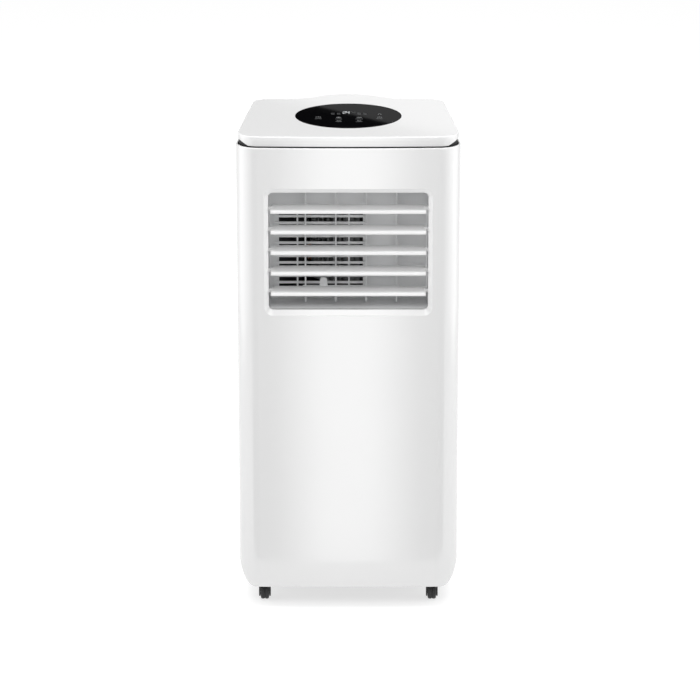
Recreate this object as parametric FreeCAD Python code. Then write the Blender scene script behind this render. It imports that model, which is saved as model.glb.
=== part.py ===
"""Portable air conditioner on four casters, as an assembly of separate solids.

The casing is a front panel and a rear shell that meet half way along the sides, on a base pan. A top
cover with a round black touch panel closes it, over a black collar that shows below the cover's raised
side walls. Five linked slats and four linked vanes steer the air at the front, an upright drum blower
pushes it, and the evaporator stands behind that. Below the drain tray are the compressor, the condenser
and a fan that blows the heat out of the round port at the back.

Millimetres. +Z is up, the front faces -Y, and the origin is on the floor under the middle of the bounding
box.
"""
import FreeCAD, Part
import math
import os

V = FreeCAD.Vector
X_AXIS = V(1, 0, 0)
Y_AXIS = V(0, 1, 0)
Z_AXIS = V(0, 0, 1)

# ---- overall size
HEIGHT = 708.0             # floor to the top of the cover
HALF_DEPTH = 137.2         # origin to the front's crown, and to the back's bulge
FRONT_HALF_WIDTH = 162.5   # where the side's line meets the front's line
REAR_HALF_WIDTH = 141.0    # where the side's line meets the back's line
BACK_Y = 105.2             # flat part of the back
CROWN_Y = -138.9           # where the front's two flats would meet; the crown's arc takes 1.7 off
FRONT_CORNER_Y = -133.2
CROWN_RADIUS = 2700.0
FRONT_CORNER_RADIUS = 32.0
REAR_CORNER_RADIUS = 26.0
BULGE_FOOT = 66.0          # half widths of the bulge's foot and crest
BULGE_CREST = 24.0
BULGE_RADIUS = 69.0

# ---- casing
WALL = 2.5
HEM_ACROSS = 26.0          # the casing's lower side corners are quarter ellipses
HEM_UP = 70.0
HEM_FLAT = 4.0             # how far the casing's underside reaches in from the ellipse's foot
EDGE_RADIUS = 2.2
RIM_RADIUS = 2.0
SEAM_Y = -40.0             # where the front panel and the rear shell meet
SEAM_GAP = 0.6
TOUCH = 0.3                # clearance where one fixed piece rests on another
FIT = 0.5                  # clearance where one fixed piece drops into another

# ---- top cover
COVER_DEPTH = 14.5         # height of the cover's front wall
COVER_GAP = 1.5            # shadow gap between the cover and the casing
COVER_INSET = 2.5
COVER_DRAFT = 1.6          # how far the wall leans in towards its foot
COVER_WALL = 3.0
COVER_SIDE_LIFT = 8.5      # the cover's side walls stop this much higher than its front wall
LIFT_RAMP = 17.0           # width over which the front wall rises to that
COLLAR_WALL = 2.5
COLLAR_FACE_INSET = 4.4    # the collar stands out to here below the cover's raised walls
COLLAR_SHELF = 3.0
LEDGE_DEPTH = 8.0
LEDGE_THICK = 3.0

# ---- touch panel
GLASS_RADIUS = 76.7
GLASS_THICK = 2.5
GLASS_Y = -4.5
GLASS_SEAT = 5.0           # width of the ledge that the glass is bonded to
BOARD_SIZE = (112.0, 62.0, 1.6)
POST_RADIUS = 3.0

COVER_RADIUS = 1.8
SIDE_LIFT_Y = -108.2       # behind this the cover's wall is lifted right across
BOARD_DROP = 11.0          # glass to the board's underside

# ---- air outlet
OUTLET_HALF_WIDTH = 114.0
OUTLET_LOW = 453.0
OUTLET_HIGH = 626.0
OUTLET_CORNER = 7.0
FLARE_CORNER = 12.0
FLARE_SIDE = 6.0
FLARE_LOW = 7.7
FLARE_HIGH = 7.0
FLARE_STEP = 2.5           # the flare's rim lies this far behind the crown, below the crowned front
FLARE_DEPTH = 5.0
THROAT_WALL = 8.0
THROAT_MARGIN = 2.3        # how far the throat's block reaches below the lip
THROAT_BACK_Y = -122.2
DUCT_BACK_Y = -65.2
DUCT_WALL = 2.5
MOUTH_LEFT = -100.0        # the blower's mouth in the duct's back wall
MOUTH_RIGHT = 21.0
MOUTH_FOOT = 9.0           # outlet's foot to the mouth's foot
MOUTH_HEAD = 38.0          # mouth's head to the outlet's head

# ---- slats and vanes
SLAT_COUNT = 5
SLAT_PITCH = 30.4
SLAT_HALF_LENGTH = 110.5
SLAT_END_TAPER = 2.0
SLAT_CHORD = 34.0
SLAT_THICK = 6.2
SLAT_Y = -116.2
SLAT_DROP = 1.1            # middle slat below the middle of the outlet
SLAT_PIN_RADIUS = 2.8
PIN_ROOT = 3.0             # how far each end pin runs into its slat
SLAT_REST_TILT = 5.0       # degrees, nose down
PIN_RADIUS = 2.0
RUN = 0.08                 # radial running clearance
CRANK_ARM = 15.0
CRANK_RADIUS = 1.3
SLAT_LINK_X = (111.4, 113.0)
LINK_THICK = 3.0
LINK_WIDTH = 4.0
LINK_SIDE_GAP = 0.9
VANE_XS = (-61.6, -18.0, 25.6, 69.2)
VANE_Y = -84.2
VANE_CHORD = 24.0
VANE_THICK = 2.2
VANE_CRANK = 8.0
VANE_LINK_Z = 477.0
KNOB_X = -35.6
KNOB_WIDTH = 12.0
KNOB_RISE = 12.5
GUARD_THICK = 2.2
GUARD_BAR = 3.4
GUARD_PITCH = 9.88
GUARD_FOOT = 4.8           # mouth's foot to the middle of the lowest bar
GUARD_LAP = 8.0            # how far the bars run past the mouth on each side
GUARD_RIB = 2.4
GUARD_RIB_XS = (-73.3, 0.9)
SWING_SHAFT_X = 124.0
SWING_MOTOR_RADIUS = 11.5
SWING_MOTOR_LENGTH = 13.0

# ---- cold side
TRAY_LOW = 386.0
TRAY_THICK = 3.0
TRAY_RIM = 16.0
TRAY_WALL = 3.0
DRUM_X = -5.0
DRUM_Y = 0.0
DRUM_RADIUS = 50.0
DRUM_BLADES = 32
DRUM_LEAN = 28.0           # degrees that each blade is turned about itself
DRUM_CLEARANCE = 8.0       # above and below the drum
BLADE_DEPTH = 14.0
BLADE_THICK = 1.2
DISC_THICK = 3.0
SHAFT_RADIUS = 4.0
SCROLL_WALL = 2.5
SCROLL_RADIUS = 57.0
SCROLL_RIGHT = 60.0
BLOWER_MOTOR_RADIUS = 38.0
BLOWER_MOTOR_LENGTH = 34.0
EVAPORATOR_HALF_WIDTH = 104.0
EVAPORATOR_Y = (64.2, 88.2)
EVAPORATOR_TOP = 640.0
EVAPORATOR_ROW = 406.0     # the lowest tube
EVAPORATOR_PITCH = 22.0
EVAPORATOR_ROWS = 11
EVAPORATOR_FINS = 27
TUBE_RADIUS = 3.5
FIN_THICK = 0.8
SLEEVE_RADIUS = 8.0
PIPE_HOLES = ((126.0, 76.2), (-128.0, 76.2))

# ---- electrics
BOX_X = (68.0, 120.0)
BOX_Y = (-50.0, 44.0)
BOX_Z = (440.0, 575.0)
BOX_WALL = 2.0
CAPACITOR_RADIUS = 15.0
CAPACITOR_LENGTH = 62.0

# ---- hot side
COMPRESSOR_X = 84.0
COMPRESSOR_Y = -56.0
COMPRESSOR_RADIUS = 50.0
COMPRESSOR_HEIGHT = 185.0
COMPRESSOR_WALL = 9.0
FOOT_RADIUS = 58.0
FOOT_TURNS = (10.0, 130.0, 250.0)
ACCUMULATOR_PLACE = (18.0, -92.0)
ACCUMULATOR_RADIUS = 16.0
ACCUMULATOR_Z = (110.0, 215.0)
SUCTION_Z = 284.0
DISCHARGE_Z = 258.0
DISCHARGE_REACH = 16.0
DISCHARGE_RADIUS = 2.8
LIQUID_RADIUS = 1.8
GROMMET_HEIGHT = 12.0
CONDENSER_X = (-108.0, 88.0)
CONDENSER_Y = (56.2, 96.2)
CONDENSER_LOW = 80.0
CONDENSER_TOP = 236.0
CONDENSER_ROW = 92.0
CONDENSER_PITCH = 17.0
CONDENSER_ROWS = 9
CONDENSER_FINS = 25
FAN_X = -62.0
FAN_Z = 160.0
FAN_RADIUS = 60.0
FAN_Y = (10.2, 48.2)
FAN_BLADES = 36
FAN_LEAN = -25.0
FAN_BLADE_DEPTH = 13.0
FAN_CASE_RADIUS = 68.0
FAN_CASE_Y = (7.2, 53.2)
FAN_CHANNEL_LEFT = -36.0
FAN_EYE_RADIUS = 42.0
PLENUM_BACK_Y = 95.2
FAN_MOTOR_RADIUS = 38.0
FAN_MOTOR_LENGTH = 56.0
EXHAUST_Z = 312.0
EXHAUST_X = 78.0           # half width of the plenum
EXHAUST_LOW = 240.0
PORT_RADIUS = 63.0
PORT_WALL = 3.5
PORT_STEP = 1.5            # the plenum's hole is this much wider than the port's bore
PORT_FLANGE = 6.0

# ---- base, casters and small parts
PAN_TOP = 78.0
PAN_FLOOR = 6.0
PAN_WALL = 3.0
CASTER_INSETS = (39.5, 33.0)     # front and rear stems, in from the casing's half widths
CASTER_STEPS = (26.0, 35.0)      # front and rear stems, in from the front's corners and the back
WHEEL_RADIUS = 13.0
WHEEL_WIDTH = 12.0
CHEEK_THICK = 2.2
CHEEK_GAP = 0.4
CHEEK_RADIUS = 9.0
CASTER_TRAIL = 8.0
FORK_PLATE_RADIUS = 12.0
FORK_PLATE_THICK = 3.2
FORK_PLATE_GAP = 0.4       # plate to the underside of the base
WHEEL_ROOM = 0.9           # wheel to the plate over it
AXLE_RADIUS = 2.0
STEM_RADIUS = 4.0
STEM_LENGTH = 24.0
SOCKET_WALL = 5.0
HANDLE_Y = (-30.0, 56.0)
HANDLE_Z = (588.0, 628.0)
HANDLE_INNER_X = 121.0
HANDLE_WALL = 2.0
HANDLE_RADIUS = 10.0
GRIP_SINK = 0.2            # how far the grip's rim lies under the side's surface
GRILLE_HALF_WIDTH = 104.0
UPPER_GRILLE_Z = (420.0, 652.0)
LOWER_GRILLE_Z = (84.0, 226.0)
GRILLE_GAP = 0.8
GRILLE_BAR = 4.0
GRILLE_SLOT = 5.5
GRILLE_BORDER = 10.0
GRILLE_RIB = 5.0
FILTER_THICK = 4.0
FILTER_FRAME = 7.0
FILTER_CELL = 30.0
DRAIN_X = -92.0
DRAIN_Z = 54.0
SPOUT_RADIUS = 7.0
SPOUT_BORE = 4.5
SPOUT_REACH = 14.0
CAP_WALL = 2.5
GLAND_X = 100.0
GLAND_Z = 262.0
GLAND_BORE = 4.0
GLAND_BODY = 7.0
GLAND_FLANGE = 11.0
FLOAT_X = -118.0
FLOAT_Y = -40.0
FLOAT_POST = 2.5
FLOAT_RADIUS = 11.0
FLOAT_HEIGHT = 16.0
CASTER_NAMES = ("front_left", "front_right", "rear_left", "rear_right")

# ---- places that follow
GROUND_GAP = 2 * WHEEL_RADIUS + WHEEL_ROOM + FORK_PLATE_THICK + FORK_PLATE_GAP
CASTER_PLACES = [
    (side * (half - inset), y)
    for half, inset, y in (
        (FRONT_HALF_WIDTH, CASTER_INSETS[0], FRONT_CORNER_Y + CASTER_STEPS[0]),
        (REAR_HALF_WIDTH, CASTER_INSETS[1], BACK_Y - CASTER_STEPS[1]),
    )
    for side in (-1, 1)
]
CASE_TOP = HEIGHT - COVER_DEPTH - COVER_GAP
COVER_LOW = HEIGHT - COVER_DEPTH
COVER_CEILING = HEIGHT - COVER_WALL
LEDGE_TOP = CASE_TOP - 7.0
COLLAR_LOW = LEDGE_TOP + TOUCH
COLLAR_INSET = COVER_INSET + COVER_DRAFT + COVER_WALL + 0.4
OUTLET_MIDDLE = (OUTLET_LOW + OUTLET_HIGH) / 2
SLAT_MIDDLE = OUTLET_MIDDLE - SLAT_DROP
SLAT_ZS = [SLAT_MIDDLE + (2 - i) * SLAT_PITCH for i in range(SLAT_COUNT)]
MOUTH_LOW = OUTLET_LOW + MOUTH_FOOT
MOUTH_HIGH = OUTLET_HIGH - MOUTH_HEAD
SCROLL_LOW = MOUTH_LOW - SCROLL_WALL
SCROLL_HIGH = MOUTH_HIGH + SCROLL_WALL
TRAY_FLOOR_TOP = TRAY_LOW + TRAY_THICK
PAN_BOTTOM = GROUND_GAP
PAN_FLOOR_TOP = PAN_BOTTOM + PAN_FLOOR
COMPRESSOR_TOP = PAN_FLOOR_TOP + GROMMET_HEIGHT + TOUCH + 3.0 + COMPRESSOR_HEIGHT
SOCKET_TOP = GROUND_GAP + STEM_LENGTH + 3.0
AXLE_Z = WHEEL_RADIUS


# ---- plain shapes
def box(x, y, z):
    """A box between pairs of low and high values."""
    return Part.makeBox(x[1] - x[0], y[1] - y[0], z[1] - z[0], V(x[0], y[0], z[0]))


def rod(radius, start, end):
    """A round bar between two points."""
    return Part.makeCylinder(radius, (end - start).Length, start, end - start)


def tube(outer, inner, start, end):
    return rod(outer, start, end).cut(rod(inner, start, end))


def merge(*shapes):
    """One solid, or several that touch, from shapes that overlap."""
    return shapes[0].fuse(list(shapes[1:])).removeSplitter()


def on_floor(u, v):
    return V(u, v, 0)


def on_wall(y):
    """Turns (across, up) into a point on the wall at that y."""
    return lambda u, v: V(u, y, v)


def round_loop(corners, place=on_floor):
    """A closed wire round corners given as (u, v, radius), with tangent arcs."""
    edges = []
    ends = []
    count = len(corners)
    for i in range(count):
        u, v, radius = corners[i]
        here = V(u, v, 0)
        before = V(*corners[i - 1][:2], 0)
        after = V(*corners[(i + 1) % count][:2], 0)
        inward = (here - before).normalize()
        outward = (after - here).normalize()
        turn = inward.getAngle(outward)
        reach = radius * math.tan(turn / 2)
        middle = (outward - inward).normalize() * (radius / math.cos(turn / 2) - radius)
        ends.append((here - inward * reach, here + middle, here + outward * reach))
    for i in range(count):
        start, middle, end = [place(p.x, p.y) for p in ends[i]]
        following = place(ends[(i + 1) % count][0].x, ends[(i + 1) % count][0].y)
        if corners[i][2] > 0:
            edges.append(Part.Arc(start, middle, end).toShape())
        if (following - end).Length > 1e-6:
            edges.append(Part.LineSegment(end, following).toShape())
    return Part.Wire(edges)


def shrink(corners, inset):
    """The same corners with every side moved inwards. They run anticlockwise."""
    moved = []
    count = len(corners)
    for i in range(count):
        here = V(*corners[i][:2], 0)
        inward = (here - V(*corners[i - 1][:2], 0)).normalize()
        outward = (V(*corners[(i + 1) % count][:2], 0) - here).normalize()
        turn = inward.x * outward.y - inward.y * outward.x
        share = inset / (1 + inward.dot(outward))
        place = here + V(-inward.y - outward.y, inward.x + outward.x, 0) * share
        radius = corners[i][2] - inset if turn > 0 else corners[i][2] + inset
        moved.append((place.x, place.y, max(radius, 0.5)))
    return moved


def block(corners, low, high):
    """An upright block with that plan."""
    face = Part.Face(round_loop(corners))
    face.translate(V(0, 0, low))
    return face.extrude(V(0, 0, high - low))


def rectangle(x, z, radius):
    return [(x[0], z[0], radius), (x[1], z[0], radius), (x[1], z[1], radius), (x[0], z[1], radius)]


def wall_block(corners, front_y, back_y):
    """A block from front_y to back_y whose corners are given as (across, up, radius)."""
    face = Part.Face(round_loop(corners, on_wall(front_y)))
    return face.extrude(V(0, back_y - front_y, 0))


def mirror_x(shape):
    return shape.mirror(V(0, 0, 0), X_AXIS)


def level_edges(shape, z):
    return [e for e in shape.Edges if abs(e.BoundBox.ZMin - z) < 0.01 and abs(e.BoundBox.ZMax - z) < 0.01]


# ---- the casing's plan
def plan(inset=0.0):
    """The casing seen from above: crowned front, sides that close in behind, and a bulged back."""
    right = [
        (FRONT_HALF_WIDTH, FRONT_CORNER_Y, FRONT_CORNER_RADIUS),
        (REAR_HALF_WIDTH, BACK_Y, REAR_CORNER_RADIUS),
        (BULGE_FOOT, BACK_Y, BULGE_RADIUS),
        (BULGE_CREST, HALF_DEPTH, BULGE_RADIUS),
    ]
    left = [(-x, y, r) for x, y, r in reversed(right)]
    return shrink([(0, CROWN_Y, CROWN_RADIUS)] + right + left, inset)


def hem(inset=0.0):
    """The casing seen from the front, extruded through it: the lower side corners are quarter ellipses."""
    half = FRONT_HALF_WIDTH - inset
    low = GROUND_GAP + inset
    foot = FRONT_HALF_WIDTH - HEM_ACROSS
    top = HEIGHT + 10
    y = -HALF_DEPTH - 20
    centre = V(foot, y, GROUND_GAP + HEM_UP)
    across = V(HEM_ACROSS - inset, 0, 0)
    down = V(0, 0, inset - HEM_UP)
    quarter = Part.Arc(Part.Ellipse(centre + down, centre + across, centre), 0, math.pi / 2).toShape()
    right = [
        Part.LineSegment(V(0, y, low), centre + down).toShape(),
        quarter,
        Part.LineSegment(centre + across, V(half, y, top)).toShape(),
        Part.LineSegment(V(half, y, top), V(0, y, top)).toShape(),
    ]
    half_face = Part.Face(Part.Wire(right + [Part.LineSegment(V(0, y, top), V(0, y, low)).toShape()]))
    half_solid = half_face.extrude(V(0, 2 * HALF_DEPTH + 40, 0))
    return merge(half_solid, mirror_x(half_solid))


def casing():
    """The whole casing as one open shell, before it is parted into front and rear."""
    outer = block(plan(), GROUND_GAP, CASE_TOP).common(hem())
    low = [e for e in level_edges(outer, GROUND_GAP) if e.BoundBox.YLength < HALF_DEPTH]
    outer = outer.makeFillet(EDGE_RADIUS, low)
    outer = outer.makeFillet(RIM_RADIUS, level_edges(outer, CASE_TOP))
    inner = block(plan(WALL), GROUND_GAP + WALL, HEIGHT).common(hem(WALL))
    foot = FRONT_HALF_WIDTH - HEM_ACROSS - HEM_FLAT
    mouth = block(plan(WALL), 0, GROUND_GAP + WALL + 1)
    mouth = mouth.common(box((-foot, foot), (-HALF_DEPTH, HALF_DEPTH), (0, GROUND_GAP + WALL + 1)))
    ledge = block(plan(WALL / 2), LEDGE_TOP - LEDGE_THICK, LEDGE_TOP)
    ledge = ledge.cut(block(plan(LEDGE_DEPTH), 0, HEIGHT))
    return merge(outer.cut([inner, mouth]), ledge)


def front_panel(shell):
    """The front half of the casing, with the flared throat round the air outlet."""
    panel = shell.common(box((-200, 200), (-200, SEAM_Y - SEAM_GAP / 2), (0, HEIGHT)))
    side = OUTLET_HALF_WIDTH + THROAT_WALL
    height = (OUTLET_LOW - FLARE_LOW - THROAT_MARGIN, OUTLET_HIGH + THROAT_WALL)
    collar = block(plan(WALL / 2), *height).common(box((-side, side), (-HALF_DEPTH, THROAT_BACK_Y), height))
    face = -HALF_DEPTH + FLARE_STEP
    lip = outlet_corners(FLARE_SIDE, FLARE_LOW, FLARE_HIGH, FLARE_CORNER)
    opening = outlet_corners(0, 0, 0, OUTLET_CORNER)
    outside = wall_block(lip, -HALF_DEPTH - 10, face)
    loops = [round_loop(lip, on_wall(face)), round_loop(opening, on_wall(face + FLARE_DEPTH))]
    flare = Part.makeLoft(loops, True, True)
    throat = wall_block(opening, -HALF_DEPTH - 10, THROAT_BACK_Y + 1)
    left = -OUTLET_HALF_WIDTH - DUCT_WALL
    motor_end = V(left, SLAT_Y, SLAT_ZS[2])
    motor_room = rod(SWING_MOTOR_RADIUS + 1, motor_end, motor_end - V(20, 0, 0))
    return merge(panel, collar).cut([outside, flare, throat, motor_room])


def outlet_corners(side, low, high, radius):
    half = OUTLET_HALF_WIDTH + side
    return rectangle((-half, half), (OUTLET_LOW - low, OUTLET_HIGH + high), radius)


def rear_shell(shell):
    """The back half of the casing, with openings for the grips, grilles, port, gland and spout."""
    back = shell.common(box((-200, 200), (SEAM_Y + SEAM_GAP / 2, 200), (0, HEIGHT)))
    grip = side_block(TOUCH, HANDLE_INNER_X - TOUCH)
    openings = [
        grip,
        mirror_x(grip),
        grille_window(UPPER_GRILLE_Z, 0),
        grille_window(LOWER_GRILLE_Z, 0),
        rod(PORT_RADIUS + TOUCH, V(0, BACK_Y - 20, EXHAUST_Z), V(0, HALF_DEPTH + 20, EXHAUST_Z)),
        rod(SPOUT_RADIUS + FIT, V(DRAIN_X, BACK_Y - 8, DRAIN_Z), V(DRAIN_X, BACK_Y + 8, DRAIN_Z)),
        rod(GLAND_BODY + TOUCH, V(GLAND_X, BACK_Y - 8, GLAND_Z), V(GLAND_X, BACK_Y + 8, GLAND_Z)),
    ]
    return back.cut(openings)


# ---- grips and grilles
def side_block(grow, inner_x):
    """A rounded block at the right-hand grip's place, from inner_x out through the casing's wall."""
    y = (HANDLE_Y[0] - grow, HANDLE_Y[1] + grow)
    z = (HANDLE_Z[0] - grow, HANDLE_Z[1] + grow)
    corners = rectangle(y, z, HANDLE_RADIUS + grow)
    loop = round_loop(corners, lambda u, v: V(inner_x, u, v))
    return Part.Face(loop).extrude(V(2 * FRONT_HALF_WIDTH - inner_x, 0, 0))


def hand_grip():
    """A pocket for the fingers, flush with the side wall."""
    cup = side_block(0, HANDLE_INNER_X).cut(side_block(-HANDLE_WALL, HANDLE_INNER_X + HANDLE_WALL))
    return cup.common(block(plan(GRIP_SINK), HANDLE_Z[0] - 10, HANDLE_Z[1] + 10))


def grille_window(z, gap):
    """What a grille fills in the back wall, less a gap all round."""
    half = GRILLE_HALF_WIDTH - gap
    return box((-half, half), (60, 160), (z[0] + gap, z[1] - gap))


def intake_grille(z):
    """A slice of the back wall with three columns of level slots."""
    low = z[0] - 5
    high = z[1] + 5
    skin = block(plan(), low, high).cut(block(plan(WALL), low, high))
    skin = skin.common(grille_window(z, GRILLE_GAP))
    half = GRILLE_HALF_WIDTH - GRILLE_BORDER
    column = (2 * half - 2 * GRILLE_RIB) / 3
    pitch = GRILLE_BAR + GRILLE_SLOT
    rows = int((z[1] - z[0] - 2 * GRILLE_BORDER + GRILLE_BAR) / pitch)
    start = (z[0] + z[1] - rows * pitch + GRILLE_BAR) / 2
    slots = []
    for i in range(rows):
        for j in range(3):
            x = -half + j * (column + GRILLE_RIB)
            foot = start + i * pitch
            slots.append(box((x, x + column), (60, 160), (foot, foot + GRILLE_SLOT)))
    return skin.cut(slots)


def dust_filter(z):
    """A sheet of mesh in a thicker frame with ribs, bent to follow the back wall."""
    low = z[0] + 7
    high = z[1] - 7
    half = GRILLE_HALF_WIDTH - 5
    area = box((-half, half), (60, 160), (low, high))
    frame = block(plan(WALL + 1), low, high).cut(block(plan(WALL + 1 + FILTER_THICK), low - 1, high + 1))
    columns = round(2 * half / FILTER_CELL)
    rows = round((high - low) / FILTER_CELL)
    across = (2 * half - FILTER_FRAME) / columns
    up = (high - low - FILTER_FRAME) / rows
    cells = []
    for i in range(columns):
        for j in range(rows):
            x = -half + FILTER_FRAME / 2 + i * across + 1.2
            y = low + FILTER_FRAME / 2 + j * up + 1.2
            cells.append(box((x, x + across - 2.4), (60, 160), (y, y + up - 2.4)))
    mesh = block(plan(WALL + 2.4), low, high).cut(block(plan(WALL + 3.2), low - 1, high + 1))
    return merge(frame.common(area).cut(cells), mesh.common(area))


# ---- top
def top_cover():
    """The lid: a drafted wall that stops higher along the sides, and a round seat for the touch panel."""
    foot_plan = plan(COVER_INSET + COVER_DRAFT)
    break_z = HEIGHT - 5
    foot = round_loop(foot_plan)
    foot.translate(V(0, 0, COVER_LOW))
    crest = round_loop(plan(COVER_INSET))
    crest.translate(V(0, 0, break_z))
    wall = Part.makeLoft([foot, crest], True, True)
    slab = block(plan(COVER_INSET), break_z, HEIGHT)
    slab = slab.makeFillet(COVER_RADIUS, level_edges(slab, HEIGHT))
    inner = block(plan(COVER_INSET + COVER_DRAFT + COVER_WALL), 0, COVER_CEILING)
    middle = V(0, GLASS_Y, 0)
    seat_low = HEIGHT - GLASS_THICK - 2.5
    seat_foot = middle + V(0, 0, seat_low)
    seat = tube(GLASS_RADIUS + 4, GLASS_RADIUS - GLASS_SEAT, seat_foot, middle + V(0, 0, HEIGHT - 1))
    hole = rod(GLASS_RADIUS - GLASS_SEAT, middle, middle + V(0, 0, HEIGHT + 1))
    recess = rod(GLASS_RADIUS + TOUCH, middle + V(0, 0, HEIGHT - GLASS_THICK), middle + V(0, 0, HEIGHT + 1))
    lid = merge(wall, slab).cut(inner)
    return merge(lid, seat).cut([hole, recess] + side_lift(COVER_LOW - 1))


def side_lift(foot):
    """What is cut from the foot of the cover's side and back walls, from the height foot up."""
    top = COVER_LOW + COVER_SIDE_LIFT
    inner = FRONT_HALF_WIDTH - LIFT_RAMP - 4
    points = [V(inner, -200, foot), V(inner, -200, COVER_LOW), V(inner + LIFT_RAMP, -200, top)]
    points += [V(200, -200, top), V(200, -200, foot)]
    ramp = Part.Face(Part.makePolygon(points + points[:1])).extrude(V(0, 400, 0))
    back = box((-200, 200), (SIDE_LIFT_Y, 200), (foot, top))
    return [ramp, mirror_x(ramp), back]


def top_collar():
    """The black ring under the cover: a shelf on the casing's ledge and a wall inside the cover."""
    shelf = block(plan(WALL + FIT), COLLAR_LOW, COLLAR_LOW + COLLAR_SHELF)
    wall = block(plan(COLLAR_INSET), COLLAR_LOW, COVER_CEILING - TOUCH)
    raised = merge(*side_lift(COLLAR_LOW + TOUCH))
    raised.translate(V(0, TOUCH, -TOUCH))
    face = block(plan(COLLAR_FACE_INSET), COLLAR_LOW, COVER_CEILING - TOUCH).common(raised)
    return merge(shelf, wall, face).cut(block(plan(COLLAR_INSET + COLLAR_WALL), 0, HEIGHT))


def touch_panel():
    middle = V(0, GLASS_Y, 0)
    return rod(GLASS_RADIUS, middle + V(0, 0, HEIGHT - GLASS_THICK), middle + V(0, 0, HEIGHT))


def control_board():
    """The board under the glass, on four posts."""
    x, y, thick = BOARD_SIZE
    low = HEIGHT - GLASS_THICK - BOARD_DROP
    board = box((-x / 2, x / 2), (GLASS_Y - y / 2, GLASS_Y + y / 2), (low, low + thick))
    posts = []
    for sx in (-1, 1):
        for sy in (-1, 1):
            foot = V(sx * (x / 2 - 6), GLASS_Y + sy * (y / 2 - 6), low)
            posts.append(rod(POST_RADIUS, foot, V(foot.x, foot.y, HEIGHT - GLASS_THICK - TOUCH)))
    display = box((-18, 22), (GLASS_Y - 8, GLASS_Y + 8), (low, low + 5))
    return merge(board, display, *posts)


# ---- slats, vanes and the duct they stand in
def slat(index):
    """A level blade with a round nose and a thin tail, on end pins, with a crank pin at the right."""
    z = SLAT_ZS[index]
    tail = SLAT_CHORD / 2
    nose = SLAT_THICK / 2
    profile = [(-tail, -nose, nose * 0.9), (tail, -0.8, 0.7), (tail, 0.8, 0.7), (-tail, nose, nose * 0.9)]
    face = Part.Face(round_loop(profile, lambda u, v: V(-SLAT_HALF_LENGTH, u, v)))
    blade = face.extrude(V(2 * SLAT_HALF_LENGTH, 0, 0))
    ends = [
        V(SLAT_HALF_LENGTH, -tail + 9, -20),
        V(SLAT_HALF_LENGTH + 5, -tail + 9, -20),
        V(SLAT_HALF_LENGTH + 5, tail + 5, -20),
        V(SLAT_HALF_LENGTH - SLAT_END_TAPER, tail + 5, -20),
    ]
    trim = Part.Face(Part.makePolygon(ends + ends[:1])).extrude(V(0, 0, 40))
    blade = blade.cut([trim, mirror_x(trim)])
    left = -SWING_SHAFT_X if index == 2 else -OUTLET_HALF_WIDTH - DUCT_WALL
    inside = SLAT_HALF_LENGTH - PIN_ROOT
    pins = [
        rod(SLAT_PIN_RADIUS, V(left, 0, 0), V(-inside, 0, 0)),
        rod(SLAT_PIN_RADIUS, V(inside, 0, 0), V(OUTLET_HALF_WIDTH + DUCT_WALL, 0, 0)),
        rod(CRANK_RADIUS, V(SLAT_HALF_LENGTH - 12, CRANK_ARM, 0), V(SLAT_LINK_X[1] + TOUCH, CRANK_ARM, 0)),
    ]
    whole = merge(blade, *pins)
    whole.rotate(V(0, 0, 0), X_AXIS, SLAT_REST_TILT)
    whole.translate(V(0, SLAT_Y, z))
    return whole


def crank_offset():
    tilt = math.radians(SLAT_REST_TILT)
    return V(0, CRANK_ARM * math.cos(tilt), CRANK_ARM * math.sin(tilt))


def slat_link():
    """The strip beside the slats' right ends that makes them tilt together."""
    x = SLAT_LINK_X
    crank = crank_offset()
    y = SLAT_Y + crank.y
    low = SLAT_ZS[-1] + crank.z
    high = SLAT_ZS[0] + crank.z
    bar = box((x[0], x[1]), (y - LINK_WIDTH / 2, y + LINK_WIDTH / 2), (low, high))
    ends = [rod(LINK_WIDTH / 2, V(x[0], y, z), V(x[1], y, z)) for z in (low, high)]
    holes = []
    for slat_z in SLAT_ZS:
        z = slat_z + crank.z
        holes.append(rod(CRANK_RADIUS + RUN, V(x[0] - 1, y, z), V(x[1] + 1, y, z)))
    return merge(bar, *ends).cut(holes)


def swing_motor():
    """The small motor on the left end of the middle slat."""
    x = -OUTLET_HALF_WIDTH - DUCT_WALL - TOUCH
    z = SLAT_ZS[2]
    body = rod(SWING_MOTOR_RADIUS, V(x, SLAT_Y, z), V(x - SWING_MOTOR_LENGTH, SLAT_Y, z))
    ears = box((x - 1.5, x), (SLAT_Y - 4, SLAT_Y + 4), (z - 18, z + 18))
    bore = rod(SLAT_PIN_RADIUS + RUN, V(x + 1, SLAT_Y, z), V(-SWING_SHAFT_X - 1, SLAT_Y, z))
    return merge(body, ears).cut(bore)


def outlet_duct():
    """The box behind the outlet, with pin holes for slats and vanes and the blower's mouth in its back."""
    half = OUTLET_HALF_WIDTH
    outer = box(
        (-half - DUCT_WALL, half + DUCT_WALL),
        (THROAT_BACK_Y + TOUCH, DUCT_BACK_Y),
        (OUTLET_LOW - DUCT_WALL, OUTLET_HIGH + DUCT_WALL),
    )
    inner = box((-half, half), (-150, DUCT_BACK_Y - DUCT_WALL), (OUTLET_LOW, OUTLET_HIGH))
    mouth = box((MOUTH_LEFT, MOUTH_RIGHT), (-80, -40), (MOUTH_LOW, MOUTH_HIGH))
    hole = SLAT_PIN_RADIUS + RUN
    pins = [rod(hole, V(-half - 5, SLAT_Y, z), V(half + 5, SLAT_Y, z)) for z in SLAT_ZS]
    hole = PIN_RADIUS + RUN
    pins += [rod(hole, V(x, VANE_Y, OUTLET_LOW - 5), V(x, VANE_Y, OUTLET_HIGH + 5)) for x in VANE_XS]
    return outer.cut([inner, mouth] + pins)


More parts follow.
